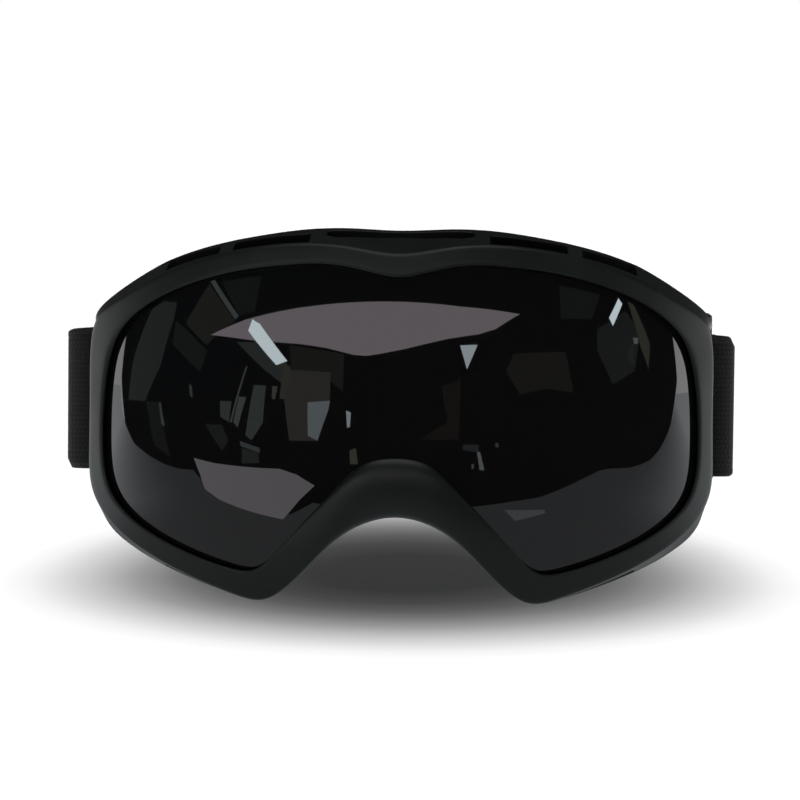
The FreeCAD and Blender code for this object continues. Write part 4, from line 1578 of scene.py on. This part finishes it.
@dataclass
class Ribbon:
    """Strap webbing swept along a path, with rounded selvedges.

    The selvedge is given by points: a share of the half thickness, and a distance in.
    """

    width: float = 40.0
    thickness: float = 1.6
    face_share: float = 0.93
    face_margin: float = 2.4
    face_cords: int = 21
    selvedge: tuple[tuple[float, float], ...] = ((0.84, 1.9), (1.0, 1.4), (0.95, 0.4), (0.45, 0.0))

    def mesh(self, path: Path, tuck: float = 0.0) -> bmesh.types.BMesh:
        """Sweep the section.

        Args:
            path: Line that the middle of the strap follows.
            tuck: Distance over which the width draws in at the widest point outward.

        Returns:
            The mesh, with a run map along and across the strap.
        """
        points = np.array(path.points)
        angles = np.array(path.angles)
        normal = np.stack([-np.sin(angles), np.cos(angles)], axis=1)
        steps = np.linalg.norm(np.diff(points, axis=0), axis=1)
        along = np.concatenate([[0.0], np.cumsum(steps)])
        section = self.section()
        rows = []
        reach = np.abs(points[:, 0]).max() + self.thickness / 2
        for spot, side in zip(points, normal):
            narrow = 0.0
            if tuck:
                near = max(0.0, abs(spot[0]) + self.thickness / 2 - (reach - tuck))
                narrow = tuck - math.sqrt(max(0.0, tuck ** 2 - near ** 2))
            scale = 1 - 2 * narrow / self.width
            rows.append([(spot[0] + side[0] * out, spot[1] + side[1] * out, high * scale)
                         for out, high in section])
        lengths = np.linalg.norm(np.diff(np.concatenate([section, section[:1]]), axis=0), axis=1)
        across = np.concatenate([[0.0], np.cumsum(lengths)])
        run = np.stack(np.meshgrid(along, across, indexing="ij"), axis=-1)
        mesh = skin(np.array(rows), False, True, run)
        close_ends(mesh)
        return mesh

    def section(self) -> np.ndarray:
        """Closed section, out and up: two faces, and thicker rounded selvedges.

        Returns:
            Points of the section, in order round it.
        """
        half, thick = self.width / 2, self.thickness / 2
        reach = half - self.face_margin
        shape: list[tuple[float, float]] = []
        for sign in (1, -1):
            shape.extend((sign * thick * self.face_share, sign * level)
                         for level in np.linspace(-reach, reach, self.face_cords))
            shape.extend((sign * thick * share, sign * (half - inset))
                         for share, inset in self.selvedge)
        return np.array(shape)


@dataclass
class Strap:
    """Head strap: side runs folded round the frame's bars, tails, sewn ends and back band."""

    ribbon: Ribbon = field(default_factory=Ribbon)
    inner_x: float = 86.6
    run_x: float = 89.6
    folds: tuple[float, float] = (4.25, 4.75)
    sway: float = 28.0
    bar_y: float = 16.9
    end_y: float = 92.0
    tail_sway: float = 12.0
    loop_outer_x: float = 87.8
    loop_radius: float = 1.7
    loop_leg: float = 13.0
    loop_front_y: float = 69.0
    stitch: float = 2.4
    stitch_gap: float = 0.9
    stitch_margin: float = 5.0
    stitch_lines: tuple[float, float] = (2.0, 4.4)
    thread_height: float = 0.22
    thread_width: float = 0.3
    thread_lift: float = 0.05
    back_pitch: float = 2.4
    fold_pitch: float = 0.45
    loop_pitch: float = 0.4

    def build(self) -> None:
        """Make every strap piece."""
        back = Path((self.run_x, self.end_y), 90.0).turn(self.run_x, 180.0, self.back_pitch)
        piece = hang("strap_back_webbing", self.ribbon.mesh(back), STRAP, "strap_back")
        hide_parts("strap_back_band")
        for side, sign in (("left", 1), ("right", -1)):
            self.build_side(side, sign)
            self.build_tail(side, sign)
            self.build_end(side, sign)

    def build_side(self, side: str, sign: int) -> None:
        """Make the run from the slot, round the bar and back along the head.

        Args:
            side: Name of the side.
            sign: 1 on the left and -1 on the right.
        """
        fold = self.folds[sign < 0]
        bend = (self.inner_x + 2 * fold - self.run_x) / (
            2 * (1 - math.cos(math.radians(self.sway))))
        straight = self.end_y - self.bar_y - 2 * bend * math.sin(math.radians(self.sway))
        path = Path((sign * self.inner_x, self.bar_y), -90.0)
        path.turn(fold, 180.0 * sign, self.fold_pitch).turn(bend, self.sway * sign)
        path.turn(bend, -self.sway * sign).run(straight)
        piece = hang(f"strap_side_{side}_webbing", self.ribbon.mesh(path, 0.6), STRAP, None)
        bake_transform(piece)
        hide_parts(f"strap_side_{side}")

    def build_tail(self, side: str, sign: int) -> None:
        """Make the doubled layer between the slot and the adjuster.

        Args:
            side: Name of the side.
            sign: 1 on the left and -1 on the right.
        """
        far = self.loop_outer_x - 2 * self.loop_radius
        bend = (self.inner_x - far) / (2 * (1 - math.cos(math.radians(self.tail_sway))))
        straight = self.loop_front_y - self.bar_y - 2 * bend * math.sin(
            math.radians(self.tail_sway))
        path = Path((sign * self.inner_x, self.bar_y), 90.0).run(straight)
        path.turn(bend, self.tail_sway * sign).turn(bend, -self.tail_sway * sign)
        piece = hang(f"strap_tail_{side}_webbing", self.ribbon.mesh(path), STRAP, None)
        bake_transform(piece)
        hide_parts(f"strap_tail_{side}")

    def build_end(self, side: str, sign: int) -> None:
        """Make the sewn end round the adjuster's centre bar, and its stitches.

        Args:
            side: Name of the side.
            sign: 1 on the left and -1 on the right.
        """
        path = Path((sign * self.loop_outer_x, self.loop_front_y), 90.0).run(self.loop_leg)
        path.turn(self.loop_radius, 180.0 * sign, self.loop_pitch).run(self.loop_leg)
        body = f"slider_{side}"
        piece = hang(f"strap_end_{side}_webbing", self.ribbon.mesh(path), STRAP, body)
        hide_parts(f"strap_end_{side}")
        face_x = self.loop_outer_x - 2 * self.loop_radius - self.ribbon.thickness / 2
        mesh = bmesh.new()
        pitch = self.stitch + self.stitch_gap
        count = int((self.ribbon.width - self.stitch_margin) / pitch)
        size = Matrix.Diagonal((self.thread_height * MM, self.thread_width * MM,
                                self.stitch / 2 * MM, 1.0))
        for line in self.stitch_lines:
            for i in range(count):
                z = (i - (count - 1) / 2) * pitch
                centre = Vector((sign * (face_x + self.thread_lift), self.loop_front_y + line,
                                 z)) * MM
                bmesh.ops.create_icosphere(mesh, subdivisions=1, radius=1.0,
                                           matrix=Matrix.Translation(centre) @ size)
        for face in mesh.faces:
            face.smooth = True
        hang(f"strap_end_{side}_stitches", mesh, THREAD, body)


@dataclass
class Adjuster:
    """Ladder slider: the CAD adjuster with moulded edges."""

    side: str
    edge: float = 0.32
    sharp_angle: float = 40.0

    def build(self) -> bpy.types.Object:
        """Soften a copy of the CAD adjuster.

        Returns:
            The piece that stands for it.
        """
        node = f"slider_{self.side}"
        mesh = solid_copy(node)
        soften(mesh, self.edge, 3, 30.0)
        piece = hang(f"{node}_moulding", mesh, SLIDER, node)
        piece.data.set_sharp_from_angle(angle=math.radians(self.sharp_angle))
        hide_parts(node)
        return piece


# --- studio --------------------------------------------------------------------------------

@dataclass(frozen=True)
class Panel:
    """Light panel far from the goggles, given by the directions of its corners."""

    name: str
    corners: tuple[tuple[float, float], ...]
    strength: float
    colour: tuple[float, float, float] = (1.0, 1.0, 1.0)
    distance: float = 4.0


@dataclass(frozen=True)
class Sun:
    """Wide soft light from above, for the table alone or for all but the table."""

    name: str
    energy: float
    spread: float
    tilt: float
    table_only: bool


@dataclass
class Studio:
    """Floor, panels, light and camera."""

    target: tuple[float, float, float] = (0.0, -0.040, 0.0)
    azimuth: float = 1.56
    elevation: float = 4.0
    roll: float = 0.61
    distance: float = 1.0
    focal_length: float = 164.34
    shift: tuple[float, float] = (0.0045, 0.02)
    ambient: float = 0.025
    suns: tuple[Sun, ...] = (Sun("overhead", 1.05, 50.0, 10.0, False),
                             Sun("table_light", 3.6, 8.0, 0.0, True))
    floor_z: float = -0.0566
    patch_lift: float = 0.0002
    card_y: float = 0.073
    card_z: float = -0.0563
    card_radius: float = 0.45
    card_half: float = 0.092
    card_before: float = 0.143
    card_behind: float = 0.190

    def build(self) -> None:
        """Make everything round the goggles."""
        self.camera()
        self.world()
        self.floor()
        self.light()
        for panel in PANELS:
            self.panel(panel)

    def camera(self) -> None:
        """Set the camera before the goggles, a little above them."""
        azimuth, elevation, roll = (math.radians(angle) for angle in (
            self.azimuth, self.elevation, self.roll))
        back = Vector((math.sin(azimuth) * math.cos(elevation),
                       -math.cos(azimuth) * math.cos(elevation), math.sin(elevation)))
        right = Vector((math.cos(azimuth), math.sin(azimuth), 0.0))
        up = back.cross(right)
        side = right * math.cos(roll) + up * math.sin(roll)
        head = up * math.cos(roll) - right * math.sin(roll)
        data = bpy.data.cameras.new("camera")
        data.lens, data.sensor_width = self.focal_length, 36.0
        data.shift_x, data.shift_y = self.shift
        data.clip_start, data.clip_end = 0.01, 100.0
        camera = bpy.data.objects.new("camera", data)
        camera.matrix_world = Matrix((side, head, back)).transposed().to_4x4()
        camera.location = Vector(self.target) + back * self.distance
        bpy.context.scene.collection.objects.link(camera)
        bpy.context.scene.camera = camera
        bpy.context.scene.view_settings.view_transform = "Standard"

    def world(self) -> None:
        """White surroundings to look at, dark ones to be lit by."""
        world = bpy.data.worlds.new("studio")
        world.use_nodes = True
        bpy.context.scene.world = world
        graph = Graph(world.node_tree)
        seen = graph.add("ShaderNodeLightPath", output="Is Camera Ray")
        graph.end(graph.add("ShaderNodeBackground", {}, {
            "Color": graph.blend(seen, (0.96, 1.0, 0.99), (1.0, 1.0, 1.0)),
            "Strength": seen * (1.0 - self.ambient) + self.ambient}), "ShaderNodeOutputWorld")

    def floor(self) -> None:
        """Pale table, a card that shades it inside the strap, and the table the lens mirrors."""
        pale, graph = new_material("floor_pale")
        grain = graph.noise(graph.place(), 30.0, 2.0)
        graph.end(graph.add("ShaderNodeBsdfPrincipled", {}, {
            "Base Color": graph.blend(grain, (0.90, 0.90, 0.90), (0.93, 0.93, 0.93)),
            "Roughness": 0.9, "Specular IOR Level": 0.0}))
        mesh = bmesh.new()
        bmesh.ops.create_grid(mesh, x_segments=1, y_segments=1, size=6.0,
                              matrix=Matrix.Translation((0.0, 0.0, self.floor_z)))
        self.put("floor", mesh, pale, "camera", "diffuse", "shadow")
        mesh = bmesh.new()
        bmesh.ops.create_circle(mesh, cap_ends=True, segments=64, radius=self.card_radius,
                                matrix=Matrix.Translation((0.0, self.card_y, self.card_z)))
        self.put("shade_card", mesh, self.shade(), "shadow")
        self.lay("table_mirrored", self.sheen(), TABLE_EDGE, 0.0)
        # Painted reflections: two glowing patches on the table, seen only in reflections.
        for name, colour, strength, edge in (("table_sheet", (1.0, 0.95, 1.0), 1.7, PATCH_EDGE),
                                             ("table_chip", (0.9, 0.97, 1.0), 1.0, SPECK_EDGE)):
            self.lay(name, self.glow(name, colour, strength), edge, self.patch_lift)

    @staticmethod
    def sheen() -> bpy.types.Material:
        """Shine of the mirrored table, stronger to the rear and out to the sides.

        Returns:
            The material.
        """
        material, graph = new_material("table_sheen")
        where = graph.place()
        # Painted shadow: the shine stays dim near the goggles, standing in for their shadow on the
        # table, and grows to the rear and out to the sides.
        rise = graph.spread(graph.part(where, "Y"), -0.06, 0.06, 0.0, 1.0)
        outward = graph.spread(graph.part(where, "X").size(), 0.115, 0.165, 0.0, 1.6)
        graph.end(graph.add("ShaderNodeEmission", {}, {
            "Color": (0.93, 0.97, 1.0, 1.0), "Strength": rise ** 2 * outward + 0.42}))
        return material

    def shade(self) -> bpy.types.Material:
        """Graded card: dense in the middle and clear outward.

        Returns:
            The material.
        """
        material, graph = new_material("shade_card")
        where = graph.place()
        across = graph.part(where, "X") / self.card_half
        along = graph.part(where, "Y") - self.card_y
        ahead = along * along.above(0.0) / self.card_behind
        before = along * (1.0 - along.above(0.0)) / self.card_before
        reach = (across ** 2 + ahead ** 2 + before ** 2) ** 0.5
        clear = graph.add("ShaderNodeValToRGB", {"stops": (
            (0.2, 0.024), (0.33, 0.046), (0.42, 0.09), (0.5, 0.165), (0.587, 0.295), (0.667, 0.48),
            (0.74, 0.65), (0.82, 0.85), (0.9, 0.96), (1.0, 1.0))}, {0: reach / 1.5})
        dark = graph.add("ShaderNodeBsdfDiffuse", {}, {"Color": (0.0, 0.0, 0.0, 1.0)})
        graph.end(graph.add("ShaderNodeMixShader", {}, {
            0: clear, 1: dark, 2: graph.add("ShaderNodeBsdfTransparent")}))
        return material

    def lay(self, name: str, material: bpy.types.Material, edge: Sequence[tuple[float, float]],
            lift_by: float) -> None:
        """Lay a flat shape on the table, where only reflections show it.

        Args:
            name: Name of the shape.
            material: Its material.
            edge: Its corners, x and y in millimetres.
            lift_by: Height over the table, in metres.
        """
        mesh = bmesh.new()
        mesh.faces.new([mesh.verts.new((x * MM, y * MM, self.floor_z + lift_by)) for x, y in edge])
        self.put(name, mesh, material, "glossy")

    @staticmethod
    def glow(name: str, colour: tuple[float, float, float], strength: float) -> bpy.types.Material:
        """Material that shines evenly.

        Args:
            name: Name of the material.
            colour: Its colour.
            strength: How strongly it shines.

        Returns:
            The material.
        """
        material, graph = new_material(name)
        graph.end(graph.add("ShaderNodeEmission", {}, {
            "Color": (*colour, 1.0), "Strength": strength}))
        return material

    @staticmethod
    def put(name: str, mesh: bmesh.types.BMesh, material: bpy.types.Material, *rays: str) -> None:
        """Add a stage object that only the named kinds of ray meet.

        Args:
            name: Name of the object.
            mesh: Its mesh, which is freed.
            material: Its material.
            rays: Kinds of ray that meet it.
        """
        piece = new_object(name, mesh, material)
        for ray in ("camera", "diffuse", "glossy", "transmission", "shadow"):
            setattr(piece, f"visible_{ray}", ray in rays)

    def light(self) -> None:
        """Wide soft lights from above, one for the goggles and one for the table."""
        table, card = (bpy.data.objects[name] for name in ("floor", "shade_card"))
        for sun in self.suns:
            data = bpy.data.lights.new(sun.name, "SUN")
            data.energy = sun.energy
            data.angle = math.radians(sun.spread)
            lamp = bpy.data.objects.new(sun.name, data)
            lamp.rotation_euler = (math.radians(sun.tilt), 0.0, 0.0)
            bpy.context.scene.collection.objects.link(lamp)
            for role, piece in (("receiver", table), ("blocker", card)):
                group = bpy.data.collections.new(f"{sun.name}_{role}")
                group.objects.link(piece)
                group.collection_objects[0].light_linking.link_state = (
                    "INCLUDE" if sun.table_only else "EXCLUDE")
                setattr(lamp.light_linking, f"{role}_collection", group)

    def panel(self, panel: Panel) -> None:
        """Hang one panel where only reflections show it.

        Args:
            panel: Panel to hang.
        """
        mesh = bmesh.new()
        verts = []
        for azimuth, elevation in panel.corners:
            a, e = math.radians(azimuth), math.radians(elevation)
            way = Vector((math.sin(a) * math.cos(e), -math.cos(a) * math.cos(e), math.sin(e)))
            verts.append(mesh.verts.new(Vector(self.target) + way * panel.distance))
        mesh.faces.new(verts)
        self.put(panel.name, mesh, self.glow(panel.name, panel.colour, panel.strength), "glossy")


# What the lens mirrors: glowing panels seen only in reflections, which paint the lens's reflection
# of a lit room, as directions in degrees from the front and upward.
GREEN = (0.84, 1.0, 0.94)
WARM = (0.98, 1.0, 0.80)
PALE = (0.82, 0.95, 1.0)
PANELS = (
    Panel("softbox_band", (
        (-63, 10), (-51.5, 14), (-33.5, 18), (-22, 19.5), (-1, 20.5), (18.5, 19.5), (38, 17),
        (35, 16.2), (29.5, 14.3), (24, 13.4), (14, 12.6), (1, 10.5), (-7, 9.3), (-11, 8.8),
        (-15, 8.9), (-24, 10.1), (-32, 10.5), (-46, 10.2)), 2.4, (1.0, 0.90, 0.96)),
    Panel("tube_streak", ((-49, 14.6), (-47.5, 14.4), (-36, 6.8), (-39.5, 5.8), (-47, 10.2),
                          (-50, 12)), 12.0, PALE, 3.9),
    Panel("tube_faint", ((-67, 19.5), (-65.5, 20), (-54, 14.5), (-55, 13.7)), 0.8, GREEN, 3.9),
    Panel("lamp_wedge", ((18, 11.2), (23.5, 11.2), (20, 6)), 6.0, PALE, 3.9),
    Panel("window_glint", ((74, 16.6), (75, 15.4), (70, 12), (69, 13.6)), 12.0, PALE, 3.9),
    Panel("backdrop_left", ((-97.5, 8), (-98, 0), (-96.5, -6), (-150, -6), (-150, 8)), 2.6),
    Panel("backdrop_right", ((93.5, 8.5), (150, 8.5), (150, -6), (91.5, -6), (94, 1)), 2.9),
    Panel("blind", ((-87, 13), (-78, 14), (-78, 11), (-81, 3), (-87, -3), (-94.5, -3), (-93, 3)),
          0.26, GREEN, 4.4),
    Panel("blind_foot", ((-86.5, -3), (-81, -3), (-78, -12), (-84, -10)), 0.12, GREEN, 4.4),
    Panel("pane_high", ((-73, 11), (-67, 19), (-55, 13.5), (-64, 8)), 0.20, WARM, 4.4),
    Panel("pane_low", ((-77, 11), (-72.5, 10), (-63.5, 7), (-65.5, 3), (-77, 7)), 0.14, GREEN, 4.4),
    Panel("door", ((-53.5, 9.5), (-45, 10), (-37, 6.5), (-37, 2), (-44, 5)), 0.38, GREEN, 4.4),
    Panel("bar_low", ((-58, -2), (-54, -2), (-55, -6), (-58, -5)), 0.56, GREEN, 4.4),
    Panel("bar_thin", ((-49.5, 5), (-49, 5), (-54, -6), (-54.7, -6)), 0.8, GREEN, 4.3),
    Panel("bar_mid", ((-51.5, -1), (-49, -1), (-52, -7), (-53.5, -6)), 0.8, GREEN, 4.4),
    Panel("bar_wide", ((-46.5, 1.5), (-42.5, 1.5), (-43.5, -6), (-47.5, -9.5), (-49.5, -8.5)),
          0.58, GREEN, 4.4),
    Panel("bar_high", ((-37, 6.5), (-34.7, 5.5), (-36, -1), (-38, -1)), 0.45, WARM, 4.3),
    Panel("wall", ((-35, 5), (-22, 5), (-22, -0.5), (-26, -9.5), (-35, -9.5), (-36.5, -1)), 0.40,
          (1.0, 0.97, 0.90), 4.5),
    Panel("screen", ((-29, -1.5), (-22, -1), (-22.5, -3), (-26, -9.5), (-29, -8.5)), 1.9, PALE,
          4.3),
    Panel("wall_warm", ((-35.5, 10), (-18, 9), (-18, 1), (-23.5, 4), (-34.5, 5)), 0.16, WARM, 4.6),
    Panel("shelf", ((-51.5, -9.6), (-45, -11), (-45, -12), (-51.5, -10.6)), 0.7, PALE, 4.2),
    Panel("shelf_foot", ((-51, -11), (-45.5, -12), (-45.5, -14), (-51.5, -14)), 0.28, GREEN, 4.4),
    Panel("nook", ((-63.5, -6.5), (-57.5, -6.5), (-55.5, -9.5), (-58, -11.5)), 0.20, GREEN, 4.4),
    Panel("spot_a", ((-40.5, 1.5), (-38.7, 1.5), (-39.5, -1.2), (-40.5, -1)), 0.7, WARM, 4.2),
    Panel("spot_b", ((-17, -3), (-15.5, -3.4), (-15.8, -6.5), (-16.7, -6.7)), 4.0, PALE, 4.2),
    Panel("spot_c", ((-16, -11.5), (-14, -11), (-13.5, -14.5), (-16, -14.5)), 0.62, WARM, 4.2),
    Panel("spot_d", ((-81.2, -3), (-80.4, -3), (-79, -7), (-80.5, -6.6)), 0.6, GREEN, 4.2),
    Panel("spot_e", ((-69.5, 0.6), (-68.3, 0.3), (-68, -1.8), (-69, -1.5)), 0.6, GREEN, 4.2),
    Panel("haze_mid", ((12, 2.5), (18, 4), (17.5, -9), (6, -9), (14, -5)), 0.10, WARM, 4.8),
    Panel("haze_right", ((35, 9), (52, 8.5), (54, 0.5), (45, 1.5), (36.5, 0.5), (32, 5.5)), 0.14,
          WARM, 4.8),
    Panel("window", ((64, 12), (75.5, 14), (80, 10), (76.5, 3.5), (68, 1.5), (63, 8)), 0.18, GREEN,
          4.6),
    Panel("post", ((77, 16), (79.5, 14.5), (83.5, 7.5), (82, 3.5), (79.5, 7.5)), 0.40, WARM, 4.4),
    Panel("bulb", ((77, 9.2), (79, 9), (78.7, 8), (77.2, 8.1)), 1.4, GREEN, 4.2),
    Panel("bracket", ((74, 7), (77, 8.4), (76.4, 4.4), (74.6, 5.2)), 0.26, GREEN, 4.4),
    Panel("haze_top", ((53, 21.5), (67, 18), (62.5, 14), (51.5, 15)), 0.12, GREEN, 4.8),
    Panel("haze_high", ((-62.5, 20), (-48.5, 23), (-48.5, 16), (-53.5, 14.5)), 0.12, GREEN, 4.8),
    Panel("spark_a", ((19, -10), (24, -10), (24, -11.6), (19, -11.2)), 0.30, PALE, 4.4),
    Panel("spark_b", ((23.5, -11.6), (24.5, -11.5), (26.2, -15.4), (24.7, -15.4)), 1.6, PALE, 4.2),
    Panel("spark_c", ((29.1, -9.6), (30.3, -9.6), (30.2, -10.6), (29.2, -10.4)), 0.6, PALE, 4.2),
    Panel("spark_d", ((22, -14.2), (22.8, -14.1), (22.8, -15.2), (22.1, -15.2)), 0.9, PALE, 4.2),
)
# Front edge of the mirrored table, and two glowing patches on it that paint pale reflections, in
# millimetres.
TABLE_EDGE = (
    (-3000, 3000), (-3000, 400), (-750, 80), (-500, 35), (-350, 3), (-276, -28), (-236, -47),
    (-211, -63), (-199, -77), (-150, -72), (-97, -74), (-66, -84), (-60, -104), (51, -104),
    (80, -101), (105, -96), (163, -96), (204, -93), (217, -84), (236, -60), (253, -49), (280, -36),
    (343, -24), (457, -11), (680, 7), (1700, 65), (3000, 150), (3000, 3000),
)
PATCH_EDGE = ((-236, -95), (-200, -111), (-175, -126), (-126, -153), (-100, -148), (-72, -132),
              (-71, -104), (-67, -76), (-97, -71), (-123, -67), (-149, -67), (-183, -79))
SPECK_EDGE = ((69, -92), (94, -79), (92, -75), (68, -77))


def main() -> None:
    """Build the goggles and the studio."""
    logging.basicConfig(level=logging.INFO, format="%(name)s %(message)s")
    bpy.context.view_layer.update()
    FrameShell().build()
    for side, sign in (("left", 1), ("right", -1)):
        StrapAnchor(side, sign).build()
    Lens().build()
    FoamRing("face_foam_base", FLANGE_BACK, BASE_BACK, FOAM, fill=0.9).build()
    FoamRing("face_foam_middle", BASE_BACK, MIDDLE_BACK, SOFT_FOAM, fill=0.7).build()
    FoamRing("face_fleece", MIDDLE_BACK, SKIN, FLEECE, turn=1.2, crown=0.5, fill=0.6).build()
    for node in sorted(frame["nodes"]):
        if node.startswith("vent_foam"):
            VentFoam(node).build()
    Strap().build()
    for side in ("left", "right"):
        Adjuster(side).build()
    Studio().build()


if __name__ == "__main__":
    main()
